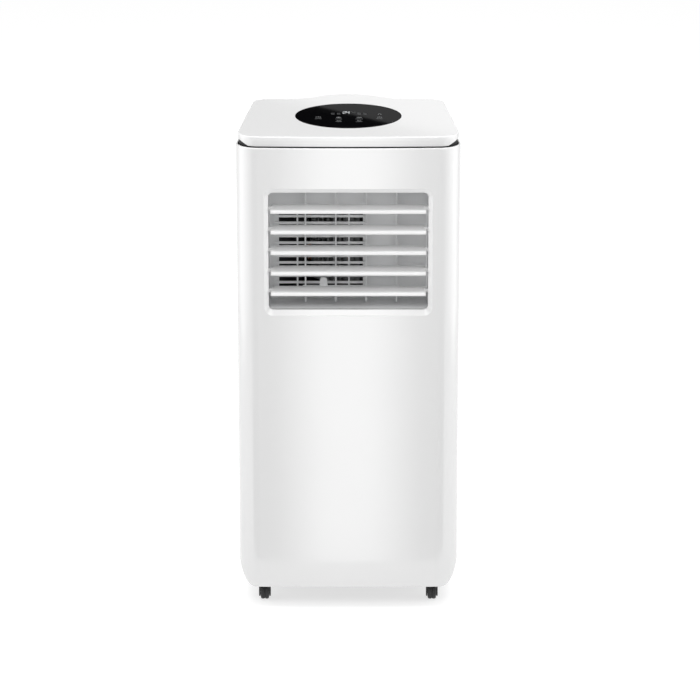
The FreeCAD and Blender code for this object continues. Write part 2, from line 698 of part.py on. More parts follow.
def outlet_guard():
    """Level bars, too close for a finger, across the blower's mouth, on four uprights."""
    y = (DUCT_BACK_Y - DUCT_WALL - TOUCH - GUARD_THICK, DUCT_BACK_Y - DUCT_WALL - TOUCH)
    first = MOUTH_LOW + GUARD_FOOT
    count = int((MOUTH_HIGH - first) / GUARD_PITCH) + 1
    x = (MOUTH_LEFT - GUARD_LAP, MOUTH_RIGHT + GUARD_LAP)
    bars = []
    for i in range(count):
        z = first + i * GUARD_PITCH
        bars.append(box(x, y, (z - GUARD_BAR / 2, z + GUARD_BAR / 2)))
    half = GUARD_RIB / 2
    z = (MOUTH_LOW - 3, MOUTH_HIGH + 3)
    middles = (x[0] + half, *GUARD_RIB_XS, x[1] - half)
    ribs = [box((middle - half, middle + half), y, z) for middle in middles]
    return merge(*bars, *ribs)


def vane(x):
    """An upright blade on two pins, notched for the link near its foot."""
    low = OUTLET_LOW + 2
    high = OUTLET_HIGH - 2
    chord = VANE_CHORD / 2
    half = VANE_THICK / 2
    loop = round_loop(
        [(x - half, VANE_Y - chord, half - 0.1), (x + half, VANE_Y - chord, half - 0.1)]
        + [(x + half, VANE_Y + chord, half - 0.1), (x - half, VANE_Y + chord, half - 0.1)]
    )
    blade = Part.Face(loop)
    blade.translate(V(0, 0, low))
    blade = blade.extrude(V(0, 0, high - low))
    crank_y = VANE_Y - VANE_CRANK
    room = LINK_THICK / 2 + LINK_SIDE_GAP
    level = (VANE_LINK_Z - room, VANE_LINK_Z + room)
    notch = box((x - 5, x + 5), (VANE_Y - chord - 5, crank_y + 4.4), level)
    pin = rod(PIN_RADIUS, V(x, VANE_Y, OUTLET_LOW - DUCT_WALL), V(x, VANE_Y, low + 4))
    upper = rod(PIN_RADIUS, V(x, VANE_Y, high - 4), V(x, VANE_Y, OUTLET_HIGH + DUCT_WALL))
    crank = rod(CRANK_RADIUS, V(x, crank_y, level[0] - 4), V(x, crank_y, level[1] + 4))
    return merge(blade.cut(notch), pin, upper, crank)


def vane_link():
    """The bar that turns the vanes together, with a grip that stands up from it."""
    y = VANE_Y - VANE_CRANK
    z = (VANE_LINK_Z - LINK_THICK / 2, VANE_LINK_Z + LINK_THICK / 2)
    width = (y - LINK_WIDTH / 2, y + LINK_WIDTH / 2)
    bar = box((VANE_XS[0] - 4, VANE_XS[-1] + 4), width, z)
    half = KNOB_WIDTH / 2
    top = z[1] + KNOB_RISE
    knob = [(KNOB_X - half, z[0], 0.8), (KNOB_X + half, z[0], 0.8)]
    knob += [(KNOB_X + half * 0.8, top, half * 0.7), (KNOB_X - half * 0.8, top, half * 0.7)]
    grip = wall_block(knob, width[0] - 1, width[1])
    holes = [rod(CRANK_RADIUS + RUN, V(x, y, z[0] - 1), V(x, y, z[1] + 1)) for x in VANE_XS]
    return merge(bar, grip).cut(holes)


# ---- cold side
def around(x, y, angle, radius, z=0.0):
    turn = math.radians(angle)
    return V(x + radius * math.cos(turn), y + radius * math.sin(turn), z)


def wheel_of_blades(count, radius, depth, lean, low, high):
    """Flat upright blades on a circle round the Z axis, each turned by lean degrees about itself."""
    blades = []
    for i in range(count):
        blade = box((-depth / 2, depth / 2), (-BLADE_THICK / 2, BLADE_THICK / 2), (low, high))
        blade.rotate(V(0, 0, 0), Z_AXIS, lean)
        blade.translate(V(radius, 0, 0))
        blade.rotate(V(0, 0, 0), Z_AXIS, 360.0 * i / count)
        blades.append(blade)
    return blades


def blower_drum():
    """The drum on its upright shaft: three discs and a ring of leaning blades."""
    low = MOUTH_LOW + DRUM_CLEARANCE
    high = MOUTH_HIGH - DRUM_CLEARANCE
    middle = (low + high) / 2
    discs = [rod(DRUM_RADIUS, V(0, 0, low), V(0, 0, low + DISC_THICK))]
    discs.append(rod(DRUM_RADIUS, V(0, 0, high - DISC_THICK), V(0, 0, high)))
    discs.append(tube(DRUM_RADIUS, DRUM_RADIUS - BLADE_DEPTH, V(0, 0, middle - 1), V(0, 0, middle + 1)))
    circle = DRUM_RADIUS - BLADE_DEPTH / 2
    blades = wheel_of_blades(DRUM_BLADES, circle, BLADE_DEPTH - 2, DRUM_LEAN, low + 1, high - 1)
    shafts = [rod(SHAFT_RADIUS, V(0, 0, SCROLL_LOW), V(0, 0, low + 1))]
    shafts.append(rod(SHAFT_RADIUS, V(0, 0, high - 1), V(0, 0, SCROLL_HIGH + TOUCH + 22)))
    drum = merge(*discs, *blades, *shafts)
    drum.translate(V(DRUM_X, DRUM_Y, 0))
    return drum


def blower_scroll():
    """Two plates and two walls that lead the air round the drum to the mouth, on legs in the drain tray."""
    front = DUCT_BACK_Y + TOUCH
    outline = [
        (MOUTH_LEFT - SCROLL_WALL, front, 1),
        (SCROLL_RIGHT, front, 20),
        (SCROLL_RIGHT, DRUM_Y + 40, 30),
        (DRUM_X, DRUM_Y + 55, 40),
        (DRUM_X - 60, DRUM_Y + 30, 20),
    ]
    plates = [block(outline, SCROLL_LOW, MOUTH_LOW), block(outline, MOUTH_HIGH, SCROLL_HIGH)]
    foot = V(DRUM_X, DRUM_Y, SCROLL_LOW)
    ring = tube(SCROLL_RADIUS + SCROLL_WALL, SCROLL_RADIUS, foot, V(DRUM_X, DRUM_Y, SCROLL_HIGH))
    keep = [
        V(DRUM_X, DRUM_Y, 0),
        V(MOUTH_RIGHT, front, 0),
        V(MOUTH_RIGHT + 60, front, 0),
        around(DRUM_X, DRUM_Y, 62, 100),
    ]
    sector = Part.Face(Part.makePolygon(keep + keep[:1])).extrude(V(0, 0, HEIGHT))
    sector = sector.common(box((-200, 200), (front, 200), (0, HEIGHT)))
    tongue = [
        V(MOUTH_LEFT - SCROLL_WALL, front, SCROLL_LOW),
        V(MOUTH_LEFT, front, SCROLL_LOW),
        around(DRUM_X, DRUM_Y, 180, SCROLL_RADIUS - 2, SCROLL_LOW),
        around(DRUM_X, DRUM_Y, 178, SCROLL_RADIUS + 1, SCROLL_LOW),
    ]
    tongue = Part.Face(Part.makePolygon(tongue + tongue[:1])).extrude(V(0, 0, SCROLL_HIGH - SCROLL_LOW))
    legs = []
    for x, y in ((MOUTH_LEFT + 10, front + 8), (SCROLL_RIGHT - 12, front + 14), (DRUM_X, DRUM_Y + 46)):
        legs.append(rod(4, V(x, y, TRAY_FLOOR_TOP + TOUCH), V(x, y, SCROLL_LOW + 1)))
    whole = merge(*plates, ring.common(sector), tongue, *legs)
    lower = rod(SHAFT_RADIUS + RUN, V(DRUM_X, DRUM_Y, SCROLL_LOW - 5), V(DRUM_X, DRUM_Y, MOUTH_LOW + 5))
    upper = rod(SHAFT_RADIUS + 3, V(DRUM_X, DRUM_Y, MOUTH_HIGH - 5), V(DRUM_X, DRUM_Y, SCROLL_HIGH + 5))
    return whole.cut([lower, upper])


def motor(radius, length, bore_depth, ears):
    """A round motor from z = 0 up, with a bore for the fan's shaft and two fixing ears."""
    body = rod(radius, V(0, 0, 0), V(0, 0, length))
    body = body.makeFillet(5, level_edges(body, length))
    ear = box((-radius - ears, radius + ears), (-8, 8), (0, 3))
    return merge(body, ear).cut(rod(SHAFT_RADIUS + RUN, V(0, 0, -1), V(0, 0, bore_depth)))


def blower_motor():
    body = motor(BLOWER_MOTOR_RADIUS, BLOWER_MOTOR_LENGTH, 23, 8)
    body.translate(V(DRUM_X, DRUM_Y, SCROLL_HIGH + TOUCH))
    return body


def coil(x, y, z, first_z, pitch, rows, fins, free_side):
    """Level tubes joined by bends, through a stack of fins. free_side is the side of the lowest open end."""
    middle = (y[0] + y[1]) / 2
    plates = []
    step = (x[1] - x[0] - FIN_THICK) / (fins - 1)
    for i in range(fins):
        left = x[0] + i * step
        plates.append(box((left, left + FIN_THICK), y, z))
    tubes = []
    for i in range(rows):
        height = first_z + i * pitch
        tubes.append(rod(TUBE_RADIUS, V(x[0] - 3, middle, height), V(x[1] + 3, middle, height)))
    bends = []
    for i in range(rows - 1):
        side = -free_side if i % 2 == 0 else free_side
        foot = x[0] - 3 if side < 0 else x[1] + 3
        centre = V(foot, middle, first_z + (i + 0.5) * pitch)
        bend = Part.makeTorus(pitch / 2, TUBE_RADIUS, centre, Y_AXIS)
        reach = (foot - 40, foot) if side < 0 else (foot, foot + 40)
        bends.append(bend.common(box(reach, (middle - 20, middle + 20), (first_z - 40, 1000))))
    return merge(*plates, *tubes, *bends)


def evaporator():
    x = (-EVAPORATOR_HALF_WIDTH, EVAPORATOR_HALF_WIDTH)
    z = (TRAY_FLOOR_TOP + TOUCH, EVAPORATOR_TOP)
    return coil(x, EVAPORATOR_Y, z, EVAPORATOR_ROW, EVAPORATOR_PITCH, EVAPORATOR_ROWS, EVAPORATOR_FINS, 1)


def drain_tray():
    """The floor between the cold side and the hot side, with a rim and two raised pipe sleeves."""
    tray = block(plan(WALL + FIT), TRAY_LOW, TRAY_LOW + TRAY_RIM)
    tray = tray.cut(block(plan(WALL + FIT + TRAY_WALL), TRAY_FLOOR_TOP, HEIGHT))
    sleeves = [rod(SLEEVE_RADIUS, V(x, y, TRAY_LOW), V(x, y, TRAY_LOW + 12)) for x, y in PIPE_HOLES]
    bores = [rod(SLEEVE_RADIUS - 2, V(x, y, 0), V(x, y, HEIGHT)) for x, y in PIPE_HOLES]
    return merge(tray, *sleeves).cut(bores)


# ---- electrics
def electrics_box():
    """The tray that holds the main board and the capacitor, open to the right, on two legs."""
    outer = box(BOX_X, BOX_Y, BOX_Z)
    inner = box(
        (BOX_X[0] + BOX_WALL, BOX_X[1] + 1),
        (BOX_Y[0] + BOX_WALL, BOX_Y[1] - BOX_WALL),
        (BOX_Z[0] + BOX_WALL, BOX_Z[1] - BOX_WALL),
    )
    leg_x = (BOX_X[0] + 12, BOX_X[0] + 24)
    leg_z = (TRAY_FLOOR_TOP + TOUCH, BOX_Z[0] + 1)
    legs = [box(leg_x, (y, y + 8), leg_z) for y in (BOX_Y[0] + 20, BOX_Y[1] - 28)]
    return merge(outer.cut(inner), *legs)


def electrics_lid():
    plate = box((BOX_X[1] + TOUCH, BOX_X[1] + TOUCH + BOX_WALL), BOX_Y, BOX_Z)
    gap = BOX_WALL + TOUCH
    y = (BOX_Y[0] + gap, BOX_Y[1] - gap)
    z = (BOX_Z[0] + gap, BOX_Z[1] - gap)
    rim = box((BOX_X[1] - 4, BOX_X[1] + 1), y, z)
    room = box((0, BOX_X[1] + TOUCH), (y[0] + 1.5, y[1] - 1.5), (z[0] + 1.5, z[1] - 1.5))
    return merge(plate, rim.cut(room))


def main_board():
    x = BOX_X[0] + BOX_WALL + 4
    board = box((x, x + 1.6), (BOX_Y[0] + 6, BOX_Y[1] - 6), (BOX_Z[0] + 10, BOX_Z[1] - 8))
    posts = []
    for y in (BOX_Y[0] + 12, BOX_Y[1] - 12):
        for z in (BOX_Z[0] + 16, BOX_Z[1] - 14):
            posts.append(rod(POST_RADIUS, V(BOX_X[0] + BOX_WALL + TOUCH, y, z), V(x + 1, y, z)))
    parts = [
        box((x, x + 8), (BOX_Y[1] - 40, BOX_Y[1] - 22), (BOX_Z[1] - 48, BOX_Z[1] - 30)),
        box((x, x + 6), (BOX_Y[0] + 14, BOX_Y[0] + 40), (BOX_Z[1] - 40, BOX_Z[1] - 28)),
    ]
    return merge(board, *posts, *parts)


def capacitor():
    middle = V(BOX_X[1] - CAPACITOR_RADIUS - 5, BOX_Y[0] + 26, BOX_Z[0] + BOX_WALL + TOUCH)
    can = rod(CAPACITOR_RADIUS, middle, middle + V(0, 0, CAPACITOR_LENGTH))
    tabs = [box((-1, 1), (y - 3, y + 3), (0, 8)) for y in (-6, 6)]
    for tab in tabs:
        tab.translate(middle + V(0, 0, CAPACITOR_LENGTH - 1))
    return merge(can, *tabs)


# ---- hot side
def pipe(points, radius, bend):
    """A round pipe through the points, with a bend at each of the inner ones."""
    edges = []
    start = points[0]
    for i in range(1, len(points) - 1):
        inward = (points[i] - points[i - 1]).normalize()
        outward = (points[i + 1] - points[i]).normalize()
        first = points[i] - inward * bend
        last = points[i] + outward * bend
        middle = points[i] + (outward - inward).normalize() * (bend * (math.sqrt(2) - 1))
        edges.append(Part.LineSegment(start, first).toShape())
        edges.append(Part.Arc(first, middle, last).toShape())
        start = last
    edges.append(Part.LineSegment(start, points[-1]).toShape())
    ring = Part.Wire(Part.makeCircle(radius, points[0], points[1] - points[0]))
    return Part.Wire(edges).makePipeShell([ring], True, False)


def compressor():
    """A hollow domed can on three arms, with the stub of its discharge pipe."""
    x, y = COMPRESSOR_X, COMPRESSOR_Y
    low = PAN_FLOOR_TOP + GROMMET_HEIGHT + TOUCH + 3
    high = low + COMPRESSOR_HEIGHT
    can = rod(COMPRESSOR_RADIUS, V(x, y, low), V(x, y, high))
    can = can.makeFillet(18, level_edges(can, low) + level_edges(can, high))
    room = rod(COMPRESSOR_RADIUS - COMPRESSOR_WALL, V(x, y, low + 10), V(x, y, high - 10))
    arms = []
    for turn in FOOT_TURNS:
        arm = box((0, FOOT_RADIUS), (-9, 9), (low - 3, low + 1))
        arm.rotate(V(0, 0, 0), Z_AXIS, turn)
        arm.translate(V(x, y, 0))
        arms.append(arm)
    plate = rod(30, V(x, y, low - 3), V(x, y, low + 1))
    return merge(can.cut(room), plate, *arms)


def accumulator():
    """The small can beside the compressor, with the pipe that joins the two."""
    foot = V(*ACCUMULATOR_PLACE, ACCUMULATOR_Z[0])
    head = V(*ACCUMULATOR_PLACE, ACCUMULATOR_Z[1])
    can = rod(ACCUMULATOR_RADIUS, foot, head)
    can = can.makeFillet(8, level_edges(can, foot.z) + level_edges(can, head.z))
    z = ACCUMULATOR_Z[0] - 20
    towards = V(COMPRESSOR_X, COMPRESSOR_Y, 0) - V(*ACCUMULATOR_PLACE, 0)
    reach = towards.Length - COMPRESSOR_RADIUS - TOUCH
    end = V(*ACCUMULATOR_PLACE, z) + towards.normalize() * reach
    return merge(can, pipe([foot + V(0, 0, 4), V(foot.x, foot.y, z), end], TUBE_RADIUS, 8))


def suction_pipe():
    """From the evaporator's lowest tube, down through the tray, to the accumulator."""
    hole = PIPE_HOLES[0]
    coil_y = (EVAPORATOR_Y[0] + EVAPORATOR_Y[1]) / 2
    top = ACCUMULATOR_Z[1] + TOUCH
    return pipe(
        [
            V(EVAPORATOR_HALF_WIDTH + 3 + TOUCH, coil_y, EVAPORATOR_ROW),
            V(hole[0], hole[1], EVAPORATOR_ROW),
            V(hole[0], hole[1], SUCTION_Z),
            V(hole[0], ACCUMULATOR_PLACE[1], SUCTION_Z),
            V(*ACCUMULATOR_PLACE, SUCTION_Z),
            V(*ACCUMULATOR_PLACE, top),
        ],
        TUBE_RADIUS,
        9,
    )


def discharge_pipe():
    """From the compressor's top to the condenser's highest tube."""
    x = CONDENSER_X[1] + DISCHARGE_REACH
    y = (CONDENSER_Y[0] + CONDENSER_Y[1]) / 2
    row = CONDENSER_ROW + (CONDENSER_ROWS - 1) * CONDENSER_PITCH
    start = V(COMPRESSOR_X, COMPRESSOR_Y + 16, COMPRESSOR_TOP + TOUCH)
    return pipe(
        [
            start,
            V(start.x, start.y, DISCHARGE_Z),
            V(x, start.y, DISCHARGE_Z),
            V(x, y, DISCHARGE_Z),
            V(x, y, row),
            V(CONDENSER_X[1] + 3 + TOUCH, y, row),
        ],
        DISCHARGE_RADIUS,
        7,
    )


def liquid_pipe():
    """The thin pipe from the condenser's lowest tube up to the evaporator's highest."""
    hole = PIPE_HOLES[1]
    row = EVAPORATOR_ROW + (EVAPORATOR_ROWS - 1) * EVAPORATOR_PITCH
    y = (CONDENSER_Y[0] + CONDENSER_Y[1]) / 2
    return pipe(
        [
            V(CONDENSER_X[0] - 3 - TOUCH, y, CONDENSER_ROW),
            V(hole[0], hole[1], CONDENSER_ROW),
            V(hole[0], hole[1], row),
            V(-EVAPORATOR_HALF_WIDTH - 3 - TOUCH, hole[1], row),
        ],
        LIQUID_RADIUS,
        6,
    )


def condenser():
    z = (CONDENSER_LOW, CONDENSER_TOP)
    rows = (CONDENSER_ROW, CONDENSER_PITCH, CONDENSER_ROWS)
    return coil(CONDENSER_X, CONDENSER_Y, z, *rows, CONDENSER_FINS, -1)


def about_y(shape):
    """Lays a shape made round the Z axis down, so that its Z runs along +Y, at the hot fan's place."""
    shape.rotate(V(0, 0, 0), X_AXIS, -90)
    shape.translate(V(FAN_X, 0, FAN_Z))
    return shape


def exhaust_fan():
    """A squirrel-cage fan: a back plate, an inlet ring, blades between them and a shaft to the motor."""
    y = FAN_Y
    plate = rod(FAN_RADIUS, V(0, 0, y[0]), V(0, 0, y[0] + 2))
    ring = tube(FAN_RADIUS, FAN_RADIUS - FAN_BLADE_DEPTH, V(0, 0, y[1] - 2), V(0, 0, y[1]))
    circle = FAN_RADIUS - FAN_BLADE_DEPTH / 2
    blades = wheel_of_blades(FAN_BLADES, circle, FAN_BLADE_DEPTH - 2, FAN_LEAN, y[0] + 1, y[1] - 1)
    hub = rod(12, V(0, 0, y[0]), V(0, 0, y[0] + 14))
    shaft = rod(SHAFT_RADIUS, V(0, 0, y[0] + 1), V(0, 0, FAN_CASE_Y[0] - TOUCH - 22))
    return about_y(merge(plate, ring, hub, shaft, *blades))


def exhaust_scroll():
    """The hot fan's housing: round, open to the condenser, with a channel up to the plenum and a foot."""
    r = FAN_CASE_RADIUS
    y = FAN_CASE_Y
    w = SCROLL_WALL
    centre = V(FAN_X, 0, FAN_Z)
    left = FAN_CHANNEL_LEFT
    right = FAN_X + r
    outer = rod(r + w, centre + V(0, y[0], 0), centre + V(0, y[1], 0))
    channel = box((left - w, right + w), y, (FAN_Z, EXHAUST_LOW - TOUCH))
    foot = box((FAN_X - 8, FAN_X + 8), y, (PAN_FLOOR_TOP + TOUCH, FAN_Z - r))
    inner = rod(r, centre + V(0, y[0] + w, 0), centre + V(0, y[1] - w, 0))
    way = box((left, right), (y[0] + w, y[1] - w), (FAN_Z, EXHAUST_LOW + 5))
    eye = rod(FAN_EYE_RADIUS, centre + V(0, y[1] - 5, 0), centre + V(0, y[1] + 5, 0))
    shaft = rod(SHAFT_RADIUS + 3, centre + V(0, y[0] - 5, 0), centre + V(0, y[0] + 5, 0))
    return merge(outer, channel, foot).cut([inner, way, eye, shaft])


def exhaust_motor():
    body = motor(FAN_MOTOR_RADIUS, FAN_MOTOR_LENGTH, 23, 8)
    body.rotate(V(0, 0, 0), X_AXIS, 90)
    body.translate(V(FAN_X, FAN_CASE_Y[0] - TOUCH, FAN_Z))
    return body


def exhaust_plenum():
    """The box that takes the hot air from the fan's channel to the round port."""
    w = DUCT_WALL
    y = (FAN_CASE_Y[0], PLENUM_BACK_Y)
    z = (EXHAUST_LOW, TRAY_LOW - TOUCH)
    outer = box((-EXHAUST_X, EXHAUST_X), y, z)
    inner = box((-EXHAUST_X + w, EXHAUST_X - w), (y[0] + w, y[1] - w), (z[0] + w, z[1] - w))
    left = FAN_CHANNEL_LEFT
    right = FAN_X + FAN_CASE_RADIUS
    way = box((left, right), (y[0] + w, FAN_CASE_Y[1] - w), (EXHAUST_LOW - 5, EXHAUST_LOW + 5))
    bore = PORT_RADIUS - PORT_WALL + PORT_STEP
    hole = rod(bore, V(0, y[1] - 10, EXHAUST_Z), V(0, y[1] + 5, EXHAUST_Z))
    return outer.cut([inner, way, hole])


def exhaust_port():
    """The round collar at the back that the hose's end pushes into."""
    start = V(0, PLENUM_BACK_Y + TOUCH, EXHAUST_Z)
    end = V(0, HALF_DEPTH, EXHAUST_Z)
    ring = rod(PORT_RADIUS, start, end)
    flange = rod(PORT_RADIUS + PORT_FLANGE, start, start + V(0, 2.5, 0))
    return merge(ring, flange).cut(rod(PORT_RADIUS - PORT_WALL, start - V(0, 1, 0), end + V(0, 1, 0)))


# ---- base, casters and small parts
def base_pan():
    """The moulded base: floor, rim, caster sockets, compressor posts, ribs, float post and drain spout."""
    low = PAN_BOTTOM + WALL + TOUCH
    tub = block(plan(WALL + FIT), low, PAN_TOP).common(hem(WALL + FIT))
    room = block(plan(WALL + FIT + PAN_WALL), PAN_FLOOR_TOP, HEIGHT).common(hem(WALL + FIT + PAN_WALL))
    foot = FRONT_HALF_WIDTH - HEM_ACROSS - HEM_FLAT - FIT
    sole = block(plan(WALL + FIT), PAN_BOTTOM, PAN_FLOOR_TOP)
    sole = sole.common(box((-foot, foot), (-HALF_DEPTH, HALF_DEPTH), (0, HEIGHT)))
    posts = []
    bores = []
    for x, y in CASTER_PLACES:
        posts.append(rod(STEM_RADIUS + SOCKET_WALL, V(x, y, PAN_BOTTOM), V(x, y, SOCKET_TOP)))
        bores.append(rod(STEM_RADIUS + RUN, V(x, y, 0), V(x, y, SOCKET_TOP - 2)))
    for turn in FOOT_TURNS:
        foot_at = around(COMPRESSOR_X, COMPRESSOR_Y, turn, FOOT_RADIUS - 9, PAN_FLOOR_TOP - 1)
        posts.append(rod(7, foot_at, foot_at + V(0, 0, GROMMET_HEIGHT + 1)))
    rib_y = (CONDENSER_Y[0] + 2, CONDENSER_Y[1] - 2)
    for x in (CONDENSER_X[0] + 42, CONDENSER_X[1] - 30):
        posts.append(box((x, x + 4), rib_y, (PAN_FLOOR_TOP - 1, CONDENSER_LOW - TOUCH)))
    post = V(FLOAT_X, FLOAT_Y, PAN_FLOOR_TOP - 1)
    posts.append(rod(FLOAT_POST, post, post + V(0, 0, 44)))
    spout_start = V(DRAIN_X, BACK_Y - WALL - FIT - 1, DRAIN_Z)
    spout_end = V(DRAIN_X, BACK_Y + SPOUT_REACH, DRAIN_Z)
    posts.append(rod(SPOUT_RADIUS, spout_start, spout_end))
    bores.append(rod(SPOUT_BORE, spout_start - V(0, 12, 0), spout_end + V(0, 1, 0)))
    return merge(tub.cut(room), sole, *posts).cut(bores)


def caster_fork(place):
    """A plate with two cheeks and an axle under it, and the stem it swivels on."""
    x, y = place
    top = PAN_BOTTOM - FORK_PLATE_GAP
    plate = rod(FORK_PLATE_RADIUS, V(x, y, top - FORK_PLATE_THICK), V(x, y, top))
    stem = rod(STEM_RADIUS, V(x, y, top - 1), V(x, y, PAN_BOTTOM + STEM_LENGTH))
    inner = WHEEL_WIDTH / 2 + CHEEK_GAP
    outer = inner + CHEEK_THICK
    axle_y = y + CASTER_TRAIL
    pieces = [plate, stem, rod(AXLE_RADIUS, V(x - outer, axle_y, AXLE_Z), V(x + outer, axle_y, AXLE_Z))]
    for side in (-1, 1):
        cheek_x = sorted((x + side * inner, x + side * outer))
        round_end = rod(CHEEK_RADIUS, V(cheek_x[0], axle_y, AXLE_Z), V(cheek_x[1], axle_y, AXLE_Z))
        web = box(cheek_x, (axle_y - CHEEK_RADIUS, axle_y + CHEEK_RADIUS), (AXLE_Z, top - 1))
        web = web.common(box((-200, 200), (y - FORK_PLATE_RADIUS, axle_y + CHEEK_RADIUS), (0, top)))
        pieces += [round_end, web]
    back = box((x - outer, x + outer), (y, axle_y + CHEEK_RADIUS), (top - FORK_PLATE_THICK, top - 0.5))
    return merge(*pieces, back)


def caster_wheel(place):
    x, y = place
    axle_y = y + CASTER_TRAIL
    half = WHEEL_WIDTH / 2
    ends = [V(side * half + x, axle_y, AXLE_Z) for side in (-1, 1)]
    tread = rod(WHEEL_RADIUS, ends[0], ends[1])
    tread = tread.makeFillet(2, [e for e in tread.Edges if e.BoundBox.XLength < 0.01])
    return tread.cut(rod(AXLE_RADIUS + RUN, ends[0] - V(1, 0, 0), ends[1] + V(1, 0, 0)))


def drain_cap():
    """The cap that closes the drain spout."""
    start = V(DRAIN_X, BACK_Y + 1, DRAIN_Z)
    end = V(DRAIN_X, BACK_Y + SPOUT_REACH + TOUCH, DRAIN_Z)
    outer = rod(SPOUT_RADIUS + RUN + CAP_WALL, start, end + V(0, CAP_WALL, 0))
    tab = box((-1.5, 1.5), (0, CAP_WALL + 5), (-8, 8))
    tab.translate(end)
    return merge(outer, tab).cut(rod(SPOUT_RADIUS + RUN, start - V(0, 1, 0), end))


def mains_gland():
    """The sleeve in the back wall where the mains lead would come out."""
    inside = BACK_Y - WALL - TOUCH
    body = rod(GLAND_BODY, V(GLAND_X, inside - 5, GLAND_Z), V(GLAND_X, BACK_Y + 3, GLAND_Z))
    flange = rod(GLAND_FLANGE, V(GLAND_X, BACK_Y + TOUCH, GLAND_Z), V(GLAND_X, BACK_Y + 3.5, GLAND_Z))
    nut = rod(GLAND_FLANGE - 1, V(GLAND_X, inside - 5, GLAND_Z), V(GLAND_X, inside, GLAND_Z))
    bore = rod(GLAND_BORE, V(GLAND_X, 0, GLAND_Z), V(GLAND_X, 200, GLAND_Z))
    return merge(body, flange, nut).cut(bore)


def water_float():
    """The float that tells when the base is full; it rides up and down its post."""
    low = PAN_FLOOR_TOP + TOUCH
    middle = V(FLOAT_X, FLOAT_Y, low)
    body = rod(FLOAT_RADIUS, middle, middle + V(0, 0, FLOAT_HEIGHT))
    return body.cut(rod(FLOAT_POST + RUN, middle - V(0, 0, 1), middle + V(0, 0, 40)))


# ---- export
def pieces():
    """Every piece by name."""
    shell = casing()
    grip = hand_grip()
    made = {
        "front_panel": front_panel(shell),
        "rear_shell": rear_shell(shell),
        "base_pan": base_pan(),
        "top_cover": top_cover(),
        "top_collar": top_collar(),
        "touch_panel": touch_panel(),
        "control_board": control_board(),
        "hand_grip_right": grip,
        "hand_grip_left": mirror_x(grip),
        "outlet_duct": outlet_duct(),
        "outlet_guard": outlet_guard(),
        "slat_link": slat_link(),
        "swing_motor": swing_motor(),
        "vane_link": vane_link(),
        "blower_drum": blower_drum(),
        "blower_scroll": blower_scroll(),
        "blower_motor": blower_motor(),
        "evaporator": evaporator(),
        "drain_tray": drain_tray(),
        "electrics_box": electrics_box(),
        "electrics_lid": electrics_lid(),
        "main_board": main_board(),
        "capacitor": capacitor(),
        "compressor": compressor(),
        "accumulator": accumulator(),
        "suction_pipe": suction_pipe(),
        "discharge_pipe": discharge_pipe(),
        "liquid_pipe": liquid_pipe(),
        "condenser": condenser(),
        "exhaust_fan": exhaust_fan(),
        "exhaust_scroll": exhaust_scroll(),
        "exhaust_motor": exhaust_motor(),
        "exhaust_plenum": exhaust_plenum(),
        "exhaust_port": exhaust_port(),
        "upper_grille": intake_grille(UPPER_GRILLE_Z),
        "lower_grille": intake_grille(LOWER_GRILLE_Z),
        "upper_filter": dust_filter(UPPER_GRILLE_Z),
        "lower_filter": dust_filter(LOWER_GRILLE_Z),
        "drain_cap": drain_cap(),
        "mains_gland": mains_gland(),
        "water_float": water_float(),
    }
    for i in range(SLAT_COUNT):
        made["slat_%d" % (i + 1)] = slat(i)
    for i, x in enumerate(VANE_XS):
        made["vane_%d" % (i + 1)] = vane(x)
    for name, place in zip(CASTER_NAMES, CASTER_PLACES):
        made["caster_fork_" + name] = caster_fork(place)
        made["caster_wheel_" + name] = caster_wheel(place)
    return made


os.makedirs("parts", exist_ok=True)
for name, shape in sorted(pieces().items()):
    if len(shape.Solids) == 1:
        shape = shape.Solids[0]
    print(name, len(shape.Solids), "ok" if shape.isValid() else "NOT VALID", round(shape.Volume / 1000, 1))
    shape.exportStep("parts/%s.step" % name)
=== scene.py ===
"""A portable air conditioner on casters, dressed in its real finishes round its CAD frame.

The script follows the unit as it is put together: casing, top, outlet, blower, cold side, electrics, hot
side, grilles and port, base and casters, and then the studio. Metres; +Z is up and the front faces -Y.
"""
import math

import bmesh
import bpy
from mathutils import Matrix, Vector


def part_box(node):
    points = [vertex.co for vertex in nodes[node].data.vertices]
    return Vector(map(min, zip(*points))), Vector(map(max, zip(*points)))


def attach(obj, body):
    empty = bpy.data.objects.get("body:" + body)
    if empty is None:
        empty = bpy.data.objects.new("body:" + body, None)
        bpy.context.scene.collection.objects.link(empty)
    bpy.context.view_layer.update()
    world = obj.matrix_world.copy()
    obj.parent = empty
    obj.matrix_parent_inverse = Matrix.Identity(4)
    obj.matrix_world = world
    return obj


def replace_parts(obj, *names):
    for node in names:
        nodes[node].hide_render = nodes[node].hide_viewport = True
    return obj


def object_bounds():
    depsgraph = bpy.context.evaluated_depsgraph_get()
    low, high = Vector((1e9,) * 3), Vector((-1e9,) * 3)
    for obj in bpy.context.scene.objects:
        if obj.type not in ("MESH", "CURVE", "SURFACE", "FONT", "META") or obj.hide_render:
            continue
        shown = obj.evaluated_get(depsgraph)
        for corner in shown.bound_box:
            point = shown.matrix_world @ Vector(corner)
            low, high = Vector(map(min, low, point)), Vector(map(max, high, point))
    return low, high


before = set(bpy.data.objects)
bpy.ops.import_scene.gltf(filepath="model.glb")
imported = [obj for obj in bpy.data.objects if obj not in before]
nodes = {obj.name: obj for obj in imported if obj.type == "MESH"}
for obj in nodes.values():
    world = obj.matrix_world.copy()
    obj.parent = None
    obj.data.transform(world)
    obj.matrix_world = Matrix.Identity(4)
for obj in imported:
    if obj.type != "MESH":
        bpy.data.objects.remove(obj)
cad_box = [list(corner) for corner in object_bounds()]
low, high = [Vector(corner) for corner in cad_box]


